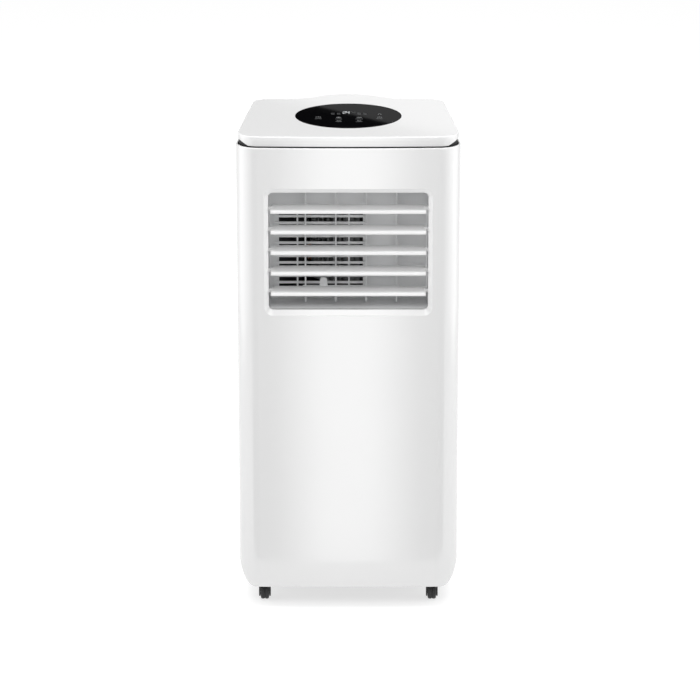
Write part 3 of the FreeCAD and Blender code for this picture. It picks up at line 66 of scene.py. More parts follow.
# ---- Camera
# A long lens a little above the top cover, square to the front, so that the sides barely converge.
STAND_OFF = 5.0
EYE_ABOVE_TOP = 1.225
EYE_ASIDE = 0.0024
LOOK_DOWN = math.radians(17.1)
FOCAL_LENGTH = 187.5
FILM_WIDTH = 36.0
FARTHEST_SEEN = 60

lens = bpy.data.cameras.new("camera")
lens.lens = FOCAL_LENGTH
lens.sensor_width = FILM_WIDTH
lens.clip_end = FARTHEST_SEEN
camera = bpy.data.objects.new("camera", lens)
camera.location = (EYE_ASIDE, low.y - STAND_OFF, high.z + EYE_ABOVE_TOP)
camera.rotation_euler = (math.pi / 2 - LOOK_DOWN, 0, 0)
bpy.context.scene.collection.objects.link(camera)
bpy.context.scene.camera = camera


# ---- Casing
# Front panel, rear shell, grips and port are injection-moulded white ABS: a polished face with the faint
# orange peel of the tool, and a little drift in tone where the melt met.
class Value:
    """A shader socket that takes part in sums, such as grain * 0.08 + 0.3."""

    def __init__(self, material, socket):
        self.material = material
        self.socket = socket

    def maths(self, operation, first, second=0.0):
        return self.material.node("ShaderNodeMath", {"operation": operation}, {0: first, 1: second})

    def size(self):
        """The value without its sign."""
        return self.maths("ABSOLUTE", self)

    def __add__(self, other):
        return self.maths("ADD", self, other)

    def __mul__(self, other):
        return self.maths("MULTIPLY", self, other)

    __radd__ = __add__
    __rmul__ = __mul__


class Finish:
    """One material: its Principled shader, and one way to add any other node."""

    def __init__(self, name, **fixed):
        self.made = bpy.data.materials.new(name)
        self.made.use_nodes = True
        self.tree = self.made.node_tree
        self.shader = self.tree.nodes["Principled BSDF"]
        for socket, value in fixed.items():
            self.shader.inputs[socket.replace("_", " ").title().replace("Ior", "IOR")].default_value = value
        self.place = self.node("ShaderNodeTexCoord", {}, {}, "Object")

    def node(self, kind, settings, inputs, output=0):
        made = self.tree.nodes.new(kind)
        for key, value in settings.items():
            setattr(made, key, value)
        for key, value in inputs.items():
            if isinstance(value, Value):
                self.tree.links.new(value.socket, made.inputs[key])
            else:
                made.inputs[key].default_value = value
        return Value(self, made.outputs[output])

    def noise(self, scale, detail=2.0, where=None):
        spot = where or self.place
        return self.node("ShaderNodeTexNoise", {}, {"Vector": spot, "Scale": scale, "Detail": detail}, "Fac")

    def stretched(self, x, y, z):
        return self.node("ShaderNodeMapping", {}, {"Vector": self.place, "Scale": (x, y, z)})

    def along(self, axis):
        """One of the three coordinates, as a value."""
        return self.node("ShaderNodeSeparateXYZ", {}, {"Vector": self.place}, axis)

    def blend(self, share, first, second):
        return self.node("ShaderNodeMix", {"data_type": "RGBA"}, {"Factor": share, 6: first, 7: second}, 2)

    def feed(self, socket, value):
        self.tree.links.new(value.socket, self.shader.inputs[socket])

    def bump(self, height, distance):
        heights = {"Height": height, "Distance": distance, "Strength": 1.0}
        self.feed("Normal", self.node("ShaderNodeBump", {}, heights, "Normal"))


def moulded(name, colour, roughness, grain=2200.0, depth=0.00002, tint=0.04, coat=0.0, gloss=0.5):
    """Moulded plastic: the tool's fine grain, and a slow drift in tone and gloss."""
    finish = Finish(
        name, roughness=roughness, coat_weight=coat, coat_roughness=0.08, specular_ior_level=gloss
    )
    drift = finish.noise(9.0)
    darker = [channel * (1 - tint) for channel in colour] + [1.0]
    finish.feed("Base Color", finish.blend(drift, [*colour, 1.0], darker))
    finish.feed("Roughness", drift * 0.08 + (roughness - 0.04))
    finish.bump(finish.noise(grain, 1.0), depth)
    return finish.made


def dress(material, *names):
    """Gives CAD nodes a finish."""
    for name in names:
        slots = nodes[name].data.materials
        slots.clear()
        slots.append(material)


def every(start):
    return [name for name in nodes if name.startswith(start)]


polished = {"grain": 900.0, "depth": 0.000008, "tint": 0.02}
white = moulded("white_abs", (0.66, 0.66, 0.66), 0.36, coat=1.0, **polished)
dress(white, "front_panel", "rear_shell")
satin_white = moulded("satin_white_abs", (0.62, 0.62, 0.62), 0.42)
dress(satin_white, "hand_grip_left", "hand_grip_right", "exhaust_port", "upper_grille", "lower_grille")


# ---- Shell screws
# Six pan-head screws of plated steel hold the rear shell, three up each side of its bulge. Each head is
# turned, its cross is cut into it, and copies are set out on the flat of the back.
SCREW_RADIUS = 0.0032
SCREW_RISE = 0.0016
SCREW_SEAT = 0.0012
SCREW_RECESS = 0.0009
CROSS_REACH = SCREW_RADIUS * 0.62
CROSS_HALF_WIDTH = 0.0004
BACK_FLAT = 0.1052
SCREW_X = 0.1255
FOOT_SCREW_SHARE = 0.93
SCREW_HEIGHTS = ((0.064, FOOT_SCREW_SHARE), (0.386, 1.0), (0.668, 1.0))


def piece(name, mesh, body, slot, *materials):
    """A finished mesh becomes an object that rides on a body, with the finishes given; its slot is not used.
    """
    made = bpy.data.objects.new(name, mesh)
    bpy.context.scene.collection.objects.link(made)
    if materials:
        mesh.materials.clear()
    for material in materials:
        mesh.materials.append(material)
    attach(made, body)
    return made


def plain_mesh(name, shape, smooth_angle=None):
    """Turns a bmesh into a mesh whose faces point outwards."""
    bmesh.ops.remove_doubles(shape, verts=shape.verts, dist=1e-7)
    bmesh.ops.recalc_face_normals(shape, faces=shape.faces)
    mesh = bpy.data.meshes.new(name)
    shape.to_mesh(mesh)
    shape.free()
    if smooth_angle:
        mesh.polygons.foreach_set("use_smooth", [True] * len(mesh.polygons))
        mesh.set_sharp_from_angle(angle=math.radians(smooth_angle))
    return mesh


def turned(name, profile, steps=32, smooth_angle=40):
    """A closed (radius, height) profile turned round the Z axis."""
    shape = bmesh.new()
    rings = []
    for radius, height in profile:
        if radius < 1e-6:
            rings.append([shape.verts.new((0, 0, height))])
            continue
        ring = []
        for step in range(steps):
            turn = 2 * math.pi * step / steps
            ring.append(shape.verts.new((radius * math.cos(turn), radius * math.sin(turn), height)))
        rings.append(ring)
    for first, second in zip(rings, rings[1:] + rings[:1]):
        if len(first) == 1 and len(second) == 1:
            continue
        for step in range(steps):
            after = (step + 1) % steps
            corners = [first[step % len(first)], first[after % len(first)]]
            corners += [second[after % len(second)], second[step % len(second)]]
            shape.faces.new(list(dict.fromkeys(corners)))
    return plain_mesh(name, shape, smooth_angle)


def add_box(shape, lowest, highest, turn=None):
    """Adds a box between two corners, turned by a matrix where one is given."""
    size = Vector(highest) - Vector(lowest)
    middle = (Vector(highest) + Vector(lowest)) / 2
    place = Matrix.Translation(middle) @ Matrix.Diagonal((*size, 1))
    if turn:
        place = turn @ place
    bmesh.ops.create_cube(shape, size=1, matrix=place)


def scattered(name, material, points, pattern, **sizes):
    """Copies the pattern mesh onto points, each turned to its own normal, by a Geometry Nodes tree."""
    tree = bpy.data.node_groups.new(name, "GeometryNodeTree")
    tree.interface.new_socket("Geometry", in_out="INPUT", socket_type="NodeSocketGeometry")
    for size in sizes:
        tree.interface.new_socket(size, in_out="INPUT", socket_type="NodeSocketFloat")
    tree.interface.new_socket("Geometry", in_out="OUTPUT", socket_type="NodeSocketGeometry")
    start = tree.nodes.new("NodeGroupInput")
    end = tree.nodes.new("NodeGroupOutput")
    source = bpy.data.objects.new(name + "_pattern", pattern)
    info = tree.nodes.new("GeometryNodeObjectInfo")
    info.inputs["Object"].default_value = source
    normal = tree.nodes.new("GeometryNodeInputNormal")
    align = tree.nodes.new("FunctionNodeAlignEulerToVector")
    align.axis = "Z"
    spread = tree.nodes.new("GeometryNodeInstanceOnPoints")
    grow = tree.nodes.new("GeometryNodeScaleInstances")
    real = tree.nodes.new("GeometryNodeRealizeInstances")
    paint = tree.nodes.new("GeometryNodeSetMaterial")
    paint.inputs["Material"].default_value = material
    wire = tree.links.new
    wire(start.outputs["Geometry"], spread.inputs["Points"])
    wire(normal.outputs[0], align.inputs["Vector"])
    wire(align.outputs[0], spread.inputs["Rotation"])
    wire(info.outputs["Geometry"], spread.inputs["Instance"])
    wire(spread.outputs[0], grow.inputs["Instances"])
    wire(start.outputs["Scale"], grow.inputs["Scale"])
    wire(grow.outputs[0], real.inputs[0])
    wire(real.outputs[0], paint.inputs["Geometry"])
    wire(paint.outputs[0], end.inputs[0])
    return grown(name, points, tree, sizes)


def grown(name, mesh, tree, sizes):
    """Evaluates a Geometry Nodes tree on a mesh, with its named sizes, and gives the plain result."""
    holder = bpy.data.objects.new(name + "_seed", mesh)
    bpy.context.scene.collection.objects.link(holder)
    modifier = holder.modifiers.new("grow", "NODES")
    modifier.node_group = tree
    for item in tree.interface.items_tree:
        if item.in_out == "INPUT" and item.name in sizes:
            modifier[item.identifier] = sizes[item.name]
    bpy.context.view_layer.update()
    seen = holder.evaluated_get(bpy.context.evaluated_depsgraph_get())
    result = bpy.data.meshes.new_from_object(seen)
    result.name = name
    bpy.data.objects.remove(holder)
    return result


def pegs(name, places):
    """Points as tiny triangles, each facing the way its copy is to face."""
    shape = bmesh.new()
    for place, facing in places:
        facing = Vector(facing)
        side = facing.orthogonal().normalized() * 1e-5
        other = facing.cross(side)
        corners = [shape.verts.new(Vector(place) + offset) for offset in (side, other, -side - other)]
        shape.faces.new(corners)
    mesh = bpy.data.meshes.new(name)
    shape.to_mesh(mesh)
    shape.free()
    return mesh


def screw_head():
    """A pan head with a cross cut into it."""
    head = turned("screw_head", [
        (0, -SCREW_SEAT), (SCREW_RADIUS, -SCREW_SEAT), (SCREW_RADIUS, SCREW_RISE * 0.25),
        (SCREW_RADIUS * 0.86, SCREW_RISE * 0.75), (SCREW_RADIUS * 0.5, SCREW_RISE), (0, SCREW_RISE),
    ], 24)
    body = bpy.data.objects.new("screw_head", head)
    cross = bmesh.new()
    for reach, width in ((CROSS_REACH, CROSS_HALF_WIDTH), (CROSS_HALF_WIDTH, CROSS_REACH)):
        add_box(cross, (-reach, -width, SCREW_RISE - SCREW_RECESS), (reach, width, SCREW_RISE + 0.001))
    cutter = bpy.data.objects.new("screw_cross", plain_mesh("screw_cross", cross))
    for part in (body, cutter):
        bpy.context.scene.collection.objects.link(part)
    cut = body.modifiers.new("cross", "BOOLEAN")
    cut.operation = "DIFFERENCE"
    cut.object = cutter
    bpy.context.view_layer.update()
    made = bpy.data.meshes.new_from_object(body.evaluated_get(bpy.context.evaluated_depsgraph_get()))
    for part in (body, cutter):
        bpy.data.objects.remove(part)
    return made


def metal(name, colour, roughness, brushed=0.0, wear=0.12):
    """Bare or plated metal, with fine drawn lines where it is brushed."""
    finish = Finish(name, metallic=1.0, roughness=roughness)
    marks = finish.noise(340.0, 3.0, finish.stretched(1.0, 1.0, 0.06))
    dull = finish.noise(46.0, 4.0)
    worn = [channel * (1 - wear) for channel in colour] + [1.0]
    finish.feed("Base Color", finish.blend(dull, [*colour, 1.0], worn))
    finish.feed("Roughness", marks * 0.16 + (roughness - 0.08))
    finish.bump(marks, 0.00003 * (0.3 + brushed))
    return finish.made


zinc = metal("zinc_screw", (0.55, 0.56, 0.57), 0.32)
heads = [((side * SCREW_X * share, BACK_FLAT, height), (0, 1, 0))
         for side in (-1, 1) for height, share in SCREW_HEIGHTS]
screws = scattered("shell_screws", zinc, pegs("screw_pegs", heads), screw_head(), Scale=1.0)
piece("shell_screws", screws, "unit", "motor_steel")


# ---- Top cover and touch panel
# The cover is the same white ABS, on a black collar that shows as a black line under it; the collar's
# near-total black is painted shade as well as its own colour. It seats a round pane of black glass, which
# carries pale printed marks with a faint painted glow, and a lit two-digit display.
dress(moulded("cover_white", (0.68, 0.68, 0.68), 0.36, coat=0.6, **polished), "top_cover")
# The collar is darker and duller than any other black plastic here: painted shade for the gap under the
# cover.
dress(moulded("collar_black_and_painted_shade", (0.004, 0.004, 0.0045), 0.5, gloss=0.15), "top_collar")

glass = Finish("touch_glass", roughness=0.03, ior=1.05)
haze = glass.noise(60.0, 3.0)
glass.feed("Base Color", glass.blend(haze, (0.0015, 0.0015, 0.0018, 1), (0.0022, 0.0022, 0.0025, 1)))
glass.feed("Roughness", haze * 0.02 + 0.02)
dress(glass.made, "touch_panel")

pane_low, pane_high = [Vector(corner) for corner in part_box("touch_panel")]
pane = (pane_low + pane_high) / 2
MARK_RISE = 0.00006
ARC_STEPS = 16


class Print:
    """Thin printed lines on the pane. Places are millimetres from the pane's middle."""

    def __init__(self):
        self.shape = bmesh.new()

    def line(self, points, width, closed=False):
        for first, second in zip(points, points[1:] + points[:1] if closed else points[1:]):
            start = Vector((*first, 0)) / 1000
            end = Vector((*second, 0)) / 1000
            along = end - start
            turn = Matrix.Translation((pane.x, pane.y, pane_high.z)) @ Matrix.Translation((start + end) / 2)
            turn = turn @ Matrix.Rotation(math.atan2(along.y, along.x), 4, "Z")
            half = (along.length / 2 + width / 2500, width / 2000)
            add_box(self.shape, (-half[0], -half[1], 0), (half[0], half[1], MARK_RISE), turn)

    def ring(self, x, y, radius, width, start=0, end=360):
        turns = [math.radians(start + (end - start) * step / ARC_STEPS) for step in range(ARC_STEPS + 1)]
        self.line([(x + radius * math.cos(t), y + radius * math.sin(t)) for t in turns], width)

    def digit(self, x, y, lit, wide=3.4, tall=6.4, width=1.15):
        """A seven-part figure, lit clockwise from its top bar, with the middle bar last."""
        half = wide / 2
        top = [(x - half, y + tall), (x + half, y + tall)]
        right = [(x + half, y), (x + half, y - tall)]
        left = [(x - half, y), (x - half, y - tall)]
        foot = [left[1], right[1]]
        middle = [left[0], right[0]]
        parts = [top, [top[1], right[0]], right, foot, left, [top[0], left[0]], middle]
        for part, on in zip(parts, lit):
            if on:
                self.line(part, width)

    def finish(self, name):
        mesh = bpy.data.meshes.new(name)
        self.shape.to_mesh(mesh)
        self.shape.free()
        return mesh


def lamp_ink(name, colour, strength):
    """Ink that gives off light, a little uneven as screen print is: the lit display, and printed marks whose
    faint glow is painted light.
    """
    ink = Finish(name, roughness=0.4, emission_strength=strength)
    speckle = ink.noise(2600.0, 1.0)
    ink.feed("Base Color", ink.blend(speckle, [*colour, 1.0], [c * 0.8 for c in colour] + [1.0]))
    ink.feed("Emission Color", ink.blend(speckle, [*colour, 1.0], [c * 0.7 for c in colour] + [1.0]))
    return ink.made


TWO = (1, 1, 0, 1, 1, 0, 1)
FOUR = (0, 1, 1, 0, 0, 1, 1)
DISPLAY_Y = 20
display_light = lamp_ink("display_light", (0.5, 0.52, 0.53), 0.22)
lit = Print()
lit.digit(-5.9, DISPLAY_Y, TWO)
lit.digit(-0.7, DISPLAY_Y, FOUR)
piece("display_digits", lit.finish("display_digits"), "unit", "touch_glass", display_light)

LAMP_Y = 15.5
LAMP_BAR_Y = 9.5
KEY_Y = -11
SIDE_BAR_Y = -18.5
LEFT_KEY_X = -43.5
RIGHT_KEY_X = 45.2
FAINT = 0.6
BOLD = 0.9

# The printed marks have no lamp; their faint glow is painted light.
marks_painted_glow = lamp_ink("marks_painted_glow", (0.2, 0.205, 0.21), 0.12)
marks = Print()
# The degree sign and its unit, beside the figures.
marks.ring(4.3, 25, 1.2, 0.5)
marks.ring(8.2, DISPLAY_Y, 2.5, BOLD, 50, 310)
# Four small lamps, each over its bar.
for x in (-22.4, -13.9, 15.6, 24.0):
    marks.ring(x, LAMP_Y, 2.0, 0.7)
    marks.line([(x - 2.0, LAMP_BAR_Y), (x + 2.0, LAMP_BAR_Y)], BOLD)
# Two columns of keys: a star in a ring, a bar, and a down arrow on a bar.
for x in (-13.9, 15.6):
    marks.ring(x, KEY_Y, 3.4, FAINT)
    for turn in range(3):
        angle = math.radians(30 + 60 * turn)
        arm = (2.4 * math.cos(angle), 2.4 * math.sin(angle))
        marks.line([(x - arm[0], KEY_Y - arm[1]), (x + arm[0], KEY_Y + arm[1])], FAINT)
    marks.line([(x - 4.6, -20), (x + 4.6, -20)], BOLD)
    marks.line([(x - 2.6, -29), (x, -32.5), (x + 2.6, -29)], BOLD)
    marks.line([(x - 4.2, -36.5), (x + 4.2, -36.5)], BOLD)
# A switch at the far left: an open ring with a stroke in its gap.
marks.ring(LEFT_KEY_X, -9, 3.6, 0.8, 120, 420)
marks.line([(LEFT_KEY_X, -9), (LEFT_KEY_X, -4)], 0.8)
marks.line([(LEFT_KEY_X - 4.5, SIDE_BAR_Y), (LEFT_KEY_X + 4.5, SIDE_BAR_Y)], BOLD)
# A clock at the far right, under an up arrow.
marks.line([(RIGHT_KEY_X - 2.6, 8), (RIGHT_KEY_X, 12.5), (RIGHT_KEY_X + 2.6, 8)], BOLD)
marks.ring(RIGHT_KEY_X, -10, 3.4, 0.7)
marks.line([(RIGHT_KEY_X, -10), (RIGHT_KEY_X, -7.4)], FAINT)
marks.line([(RIGHT_KEY_X, -10), (RIGHT_KEY_X + 2.0, -10)], FAINT)
marks.line([(RIGHT_KEY_X - 4.3, SIDE_BAR_Y), (RIGHT_KEY_X + 4.3, SIDE_BAR_Y)], BOLD)
piece("touch_marks", marks.finish("touch_marks"), "unit", "touch_glass", marks_painted_glow)


# ---- Outlet
# Five slats and four vanes in a duct, all moulded of the casing's white plastic, painted lighter than the
# casing to stand in for light in the shaded outlet. A bar joins each set, and a guard of thin level bars
# keeps fingers from the blower.
# Slats, vanes and duct are lighter than the casing's white: painted light for the shade inside the outlet.
slat_white_painted_light = moulded("slat_white_painted_light", (0.75, 0.75, 0.75), 0.6, tint=0.02, gloss=0.2)
dress(slat_white_painted_light, *[name for name in every("slat_") if name != "slat_link"])
duct_white_painted_light = moulded("duct_white_painted_light", (0.76, 0.765, 0.77), 0.5, tint=0.03)
dress(duct_white_painted_light, "outlet_duct", "outlet_guard", "slat_link", "vane_link", *every("vane_"))


# ---- Blower
# An upright drum of leaning blades in a scroll, all dark glass-filled plastic, with a plain steel motor.
dark = moulded("dark_abs", (0.03, 0.03, 0.032), 0.5)
dress(dark, "blower_scroll")
dress(moulded("drum_grey", (0.30, 0.305, 0.31), 0.5), "blower_drum")
steel = metal("motor_steel", (0.50, 0.51, 0.52), 0.36, brushed=1.0)
dress(steel, "blower_motor", "swing_motor", "exhaust_motor")


# ---- Cold side
# Copper tubes pressed through a stack of thin aluminium fins, standing in a white foam tray. The fins are
# one plate set out along X, and the tube is one run bent back and forth.
FIN_PITCH = 0.0018
FIN_THICK = 0.00016
TUBE_RADIUS = 0.0035
TUBE_OVERHANG = 0.003
BEND_STEPS = 8


def tube_run(name, material, x, y, first, pitch, rows, radius, free_side):
    """One tube that goes back and forth through the fins, with a bend at each end."""
    points = []
    for row in range(rows):
        height = first + row * pitch
        leftward = (row % 2 == 0) == (free_side > 0)
        ends = (x[1], x[0]) if leftward else (x[0], x[1])
        points += [(ends[0], height), (ends[1], height)]
        if row < rows - 1:
            side = -1 if leftward else 1
            for step in range(1, BEND_STEPS):
                turn = math.pi * step / BEND_STEPS - math.pi / 2
                outward = ends[1] + side * pitch / 2 * math.cos(turn)
                points.append((outward, height + pitch / 2 * (1 + math.sin(turn))))
    curve = bpy.data.curves.new(name, "CURVE")
    curve.dimensions = "3D"
    curve.bevel_depth = radius
    curve.bevel_resolution = 3
    curve.use_fill_caps = True
    spline = curve.splines.new("POLY")
    spline.points.add(len(points) - 1)
    for spot, (across, up) in zip(spline.points, points):
        spot.co = (across, y, up, 1)
    holder = bpy.data.objects.new(name, curve)
    mesh = bpy.data.meshes.new_from_object(holder)
    bpy.data.objects.remove(holder)
    mesh.materials.append(material)
    mesh.polygons.foreach_set("use_smooth", [True] * len(mesh.polygons))
    return mesh


def fin_stack(name, material, x, y, z, pitch):
    """Thin plates across the tubes, set out at a pitch by a Geometry Nodes tree."""
    tree = bpy.data.node_groups.new(name, "GeometryNodeTree")
    tree.interface.new_socket("Geometry", in_out="INPUT", socket_type="NodeSocketGeometry")
    tree.interface.new_socket("Count", in_out="INPUT", socket_type="NodeSocketInt")
    tree.interface.new_socket("Pitch", in_out="INPUT", socket_type="NodeSocketFloat")
    tree.interface.new_socket("Geometry", in_out="OUTPUT", socket_type="NodeSocketGeometry")
    start = tree.nodes.new("NodeGroupInput")
    end = tree.nodes.new("NodeGroupOutput")
    row = tree.nodes.new("GeometryNodeMeshLine")
    row.mode = "OFFSET"
    step = tree.nodes.new("ShaderNodeCombineXYZ")
    spread = tree.nodes.new("GeometryNodeInstanceOnPoints")
    real = tree.nodes.new("GeometryNodeRealizeInstances")
    paint = tree.nodes.new("GeometryNodeSetMaterial")
    paint.inputs["Material"].default_value = material
    wire = tree.links.new
    wire(start.outputs["Count"], row.inputs["Count"])
    wire(start.outputs["Pitch"], step.inputs[0])
    wire(step.outputs[0], row.inputs["Offset"])
    wire(row.outputs[0], spread.inputs["Points"])
    wire(start.outputs["Geometry"], spread.inputs["Instance"])
    wire(spread.outputs[0], real.inputs[0])
    wire(real.outputs[0], paint.inputs["Geometry"])
    wire(paint.outputs[0], end.inputs[0])
    plate = bmesh.new()
    add_box(plate, (x[0], y[0], z[0]), (x[0] + FIN_THICK, y[1], z[1]))
    count = int((x[1] - x[0]) / pitch)
    sizes = {"Count": count, "Pitch": (x[1] - x[0]) / (count - 0.9)}
    return grown(name, plain_mesh(name, plate), tree, sizes)


fins = metal("fin_aluminium", (0.80, 0.81, 0.82), 0.34, brushed=0.5)
copper = metal("copper_pipe", (0.62, 0.28, 0.17), 0.30, wear=0.3)


def coil(name, x, first, pitch, rows, free_side):
    """A finned coil, as deep and as tall as its CAD node, which its fins and its tube stand for."""
    lowest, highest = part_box(name)
    y = (lowest[1], highest[1])
    z = (lowest[2], highest[2])
    stack = piece(name + "_fins", fin_stack(name + "_fins", fins, x, y, z, FIN_PITCH), "unit", "fins")
    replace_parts(stack, name)
    reach = (x[0] - TUBE_OVERHANG, x[1] + TUBE_OVERHANG)
    middle = (y[0] + y[1]) / 2
    tube = tube_run(name + "_tube", copper, reach, middle, first, pitch, rows, TUBE_RADIUS, free_side)
    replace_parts(piece(name + "_tube", tube, "unit", "copper"), name)


coil("evaporator", x=(-0.104, 0.104), first=0.406, pitch=0.022, rows=11, free_side=1)
dress(copper, "suction_pipe", "discharge_pipe", "liquid_pipe")

foam = Finish("tray_foam", roughness=0.85)
cells = foam.node("ShaderNodeTexVoronoi", {}, {"Vector": foam.place, "Scale": 420.0}, "Distance")
foam.feed("Base Color", foam.blend(cells, (0.78, 0.78, 0.77, 1), (0.88, 0.88, 0.87, 1)))
foam.feed("Roughness", cells * 0.2 + 0.7)
foam.bump(cells, 0.0002)
dress(foam.made, "drain_tray")


# ---- Electrics
# A flame-proof dark box holds a green board and a metal-cased capacitor. The touch panel has its own board.
dress(dark, "electrics_box", "electrics_lid")
board = Finish("green_board", roughness=0.3)
tracks = board.node("ShaderNodeTexBrick", {}, {
    "Vector": board.place, "Scale": 90.0, "Color1": (0.012, 0.09, 0.04, 1), "Color2": (0.016, 0.12, 0.055, 1),
    "Mortar": (0.03, 0.2, 0.09, 1),
}, "Color")
board.feed("Base Color", tracks)
board.feed("Roughness", board.noise(200.0) * 0.2 + 0.2)
dress(board.made, "control_board", "main_board")
dress(fins, "capacitor")


# ---- Hot side
# Compressor and accumulator are steel cans in black paint; the condenser is a deeper coil like the first,
# and the fan's housing and plenum are dark moulded plastic.
enamel = Finish("black_enamel", roughness=0.28, coat_weight=0.2)
peel = enamel.noise(700.0, 2.0)
patches = enamel.noise(30.0, 4.0)
enamel.feed("Base Color", enamel.blend(patches, (0.012, 0.012, 0.013, 1), (0.02, 0.02, 0.021, 1)))
enamel.feed("Roughness", peel * 0.12 + 0.22)
enamel.bump(peel, 0.00004)
dress(enamel.made, "compressor", "accumulator")
coil("condenser", x=(-0.108, 0.088), first=0.092, pitch=0.017, rows=9, free_side=-1)
dress(dark, "exhaust_fan", "exhaust_scroll", "exhaust_plenum")


# ---- Filters, drain and lead inlet
# Each grille carries a framed filter of woven nylon. A ribbed cap closes the drain and a gland awaits the
# mains lead.
mesh_weave = Finish("filter_weave", roughness=0.7)
THREADS = 900.0 * math.pi
across = mesh_weave.along("X") * THREADS
up = mesh_weave.along("Z") * THREADS
thread = across.maths("SINE", across).size() * up.maths("SINE", up).size()
mesh_weave.feed("Base Color", mesh_weave.blend(thread, (0.035, 0.037, 0.04, 1), (0.09, 0.095, 0.10, 1)))
mesh_weave.feed("Roughness", thread * 0.2 + 0.6)
mesh_weave.bump(thread, 0.0002)
dress(mesh_weave.made, "upper_filter", "lower_filter")
dress(dark, "mains_gland", "drain_cap", "base_pan")
dress(moulded("float_foam", (0.72, 0.70, 0.62), 0.8, grain=700.0, depth=0.0002), "water_float")


# ---- Casters
# Black nylon forks on steel stems, and twin-lipped wheels: a moulded hub with a softer grooved tread. Each
# wheel is turned from half of its section, mirrored, and stands for the CAD wheel.
AXLE_BORE = 0.0021
caster_black = moulded("caster_black", (0.012, 0.012, 0.013), 0.38)
tread = moulded("caster_tread", (0.018, 0.018, 0.019), 0.65, grain=900.0, depth=0.00006)
dress(caster_black, *every("caster_fork"))


def wheel_mesh(name, centre, radius, width, bore):
    """A wheel turned from its section, laid along X at its centre."""
    half = width / 2
    tyre = radius * 0.74
    near_side = [
        (bore, -half), (bore * 2.0, -half), (bore * 2.3, -half + 0.0012), (tyre * 0.86, -half + 0.0016),
        (tyre, -half + 0.0004), (radius - 0.0018, -half), (radius - 0.0005, -half + 0.0007),
        (radius, -half + 0.002), (radius, -0.0012), (radius - 0.0007, -0.0007),
    ]
    far_side = [(reach, -along) for reach, along in reversed(near_side)]
    mesh = turned(name, near_side + far_side, 48, 35)
    mesh.transform(Matrix.Translation(centre) @ Matrix.Rotation(math.pi / 2, 4, "Y"))
    mesh.materials.append(tread)
    mesh.materials.append(caster_black)
    for face in mesh.polygons:
        offset = face.center - centre
        if math.hypot(offset.y, offset.z) < tyre * 0.98:
            face.material_index = 1
    return mesh


for corner in ("front_left", "front_right", "rear_left", "rear_right"):
    node = "caster_wheel_" + corner
    wheel_low, wheel_high = [Vector(edge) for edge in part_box(node)]
    size = wheel_high - wheel_low
    mesh = wheel_mesh("wheel_" + corner, (wheel_low + wheel_high) / 2, size.z / 2, size.x, AXLE_BORE)
    tyre = piece("tyre_" + corner, mesh, "wheel_" + corner, "caster_rubber")
    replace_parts(tyre, node)


# ---- Studio
# A seamless white floor in an even white room, with soft lights at each side, before the front and
# overhead. Pale cards at the front and sides show only in the gloss of the casing, and a black flag behind
# the unit keeps half of the room's reflection out of the glass.
def soft_light(name, size, place, aim, watts):
    light = bpy.data.lights.new(name, "AREA")
    light.shape = "RECTANGLE"
    light.size, light.size_y = size
    light.energy = watts
    lamp = bpy.data.objects.new(name, light)
    lamp.location = place
    lamp.rotation_euler = (Vector(aim) - Vector(place)).to_track_quat("-Z", "Y").to_euler()
    lamp.visible_camera = False
    bpy.context.scene.collection.objects.link(lamp)


def sheet(name, corners, material):
    mesh = bpy.data.meshes.new(name)
    mesh.from_pydata(corners, [], [(0, 1, 2, 3)])
    mesh.materials.append(material)
    made = bpy.data.objects.new(name, mesh)
    bpy.context.scene.collection.objects.link(made)
    return made


def only_in_gloss(made):
    made.visible_camera = False
    made.visible_diffuse = False
    made.visible_shadow = False


REACH = 30.0
FLOOR_Z = -0.0005
floor_paint = Finish(
    "floor_paint", base_color=(0.4, 0.4, 0.4, 1), roughness=0.9, specular_ior_level=0.0,
    emission_color=(1, 1, 1, 1), emission_strength=0.68,
)
floor_corners = [(-REACH, -REACH, FLOOR_Z), (REACH, -REACH, FLOOR_Z), (REACH, REACH, FLOOR_Z),
                 (-REACH, REACH, FLOOR_Z)]
sheet("floor", floor_corners, floor_paint.made)

FLAG_Y = 1.0
FLAG_REACH = 0.6
FLAG_TOP = 1.6
flag_corners = [(-FLAG_REACH, FLAG_Y, 0.797), (FLAG_REACH, FLAG_Y, 1.091), (FLAG_REACH, FLAG_Y, FLAG_TOP),
                (-FLAG_REACH, FLAG_Y, FLAG_TOP)]
flag_cloth = Finish("flag_cloth", base_color=(0, 0, 0, 1), roughness=1.0, specular_ior_level=0.0)
only_in_gloss(sheet("flag", flag_corners, flag_cloth.made))


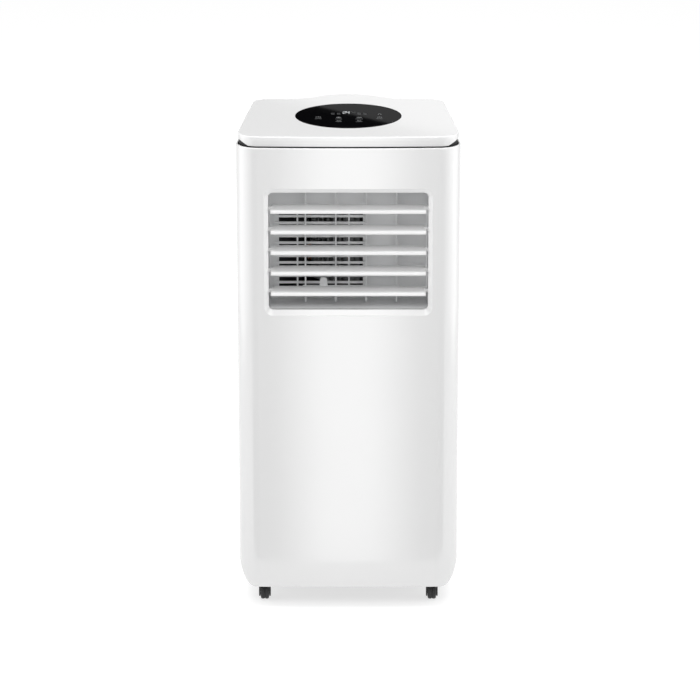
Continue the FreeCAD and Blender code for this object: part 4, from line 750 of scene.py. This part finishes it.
def glow(name, corners, strength, spread, edge):
    """A gloss-only card. Its light is even over the middle spread along X, and fades out over the edge."""
    cloth = Finish(
        name, base_color=(0, 0, 0, 1), roughness=1.0, specular_ior_level=0.0, emission_strength=strength
    )
    stops = {"Value": cloth.along("X").size(), "From Min": spread, "From Max": spread + edge,
             "To Min": 1.0, "To Max": 0.0}
    fade = cloth.node("ShaderNodeMapRange", {"interpolation_type": "SMOOTHSTEP"}, stops)
    cloth.feed("Emission Color", cloth.blend(fade, (0, 0, 0, 1), (1, 1, 1, 1)))
    only_in_gloss(sheet(name, corners, cloth.made))


CARD_FOOT = -0.0004
CARD_X = 0.3
CARD_Y = -0.33
CARD_TOP = 1.2
front_corners = [(-CARD_X, CARD_Y, CARD_FOOT), (CARD_X, CARD_Y, CARD_FOOT), (CARD_X, CARD_Y, CARD_TOP),
                 (-CARD_X, CARD_Y, CARD_TOP)]
glow("front_card", front_corners, strength=2.6, spread=0.03, edge=0.11)
SIDE_CARD_X = 1.5
SIDE_CARD_FRONT = -0.95
SIDE_CARD_BACK = 0.7
SIDE_CARD_TOP = 2.6
for side in (-1, 1):
    x = side * SIDE_CARD_X
    side_corners = [(x, SIDE_CARD_FRONT, CARD_FOOT), (x, SIDE_CARD_BACK, CARD_FOOT),
                    (x, SIDE_CARD_BACK, SIDE_CARD_TOP), (x, SIDE_CARD_FRONT, SIDE_CARD_TOP)]
    glow("side_card", side_corners, strength=2.1, spread=9.0, edge=1.0)

ROOM_LIGHT = 0.66
world = bpy.data.worlds.new("studio")
world.use_nodes = True
room = world.node_tree.nodes["Background"]
room.inputs["Color"].default_value = (1, 1, 1, 1)
room.inputs["Strength"].default_value = ROOM_LIGHT
bpy.context.scene.world = world
for name, side in (("left_light", -1), ("right_light", 1)):
    soft_light(name, size=(0.6, 1.8), place=(side * 1.3, -0.05, 0.5), aim=(0, -0.05, 0.4), watts=2.5)
soft_light("fill", size=(3.0, 1.6), place=(0.0, -2.6, 2.9), aim=(0, 0, 0.4), watts=46)
soft_light("top_light", size=(2.4, 2.4), place=(0.0, 0.2, 3.2), aim=(0, 0.2, 0), watts=62)

bpy.context.scene.view_settings.view_transform = "Standard"
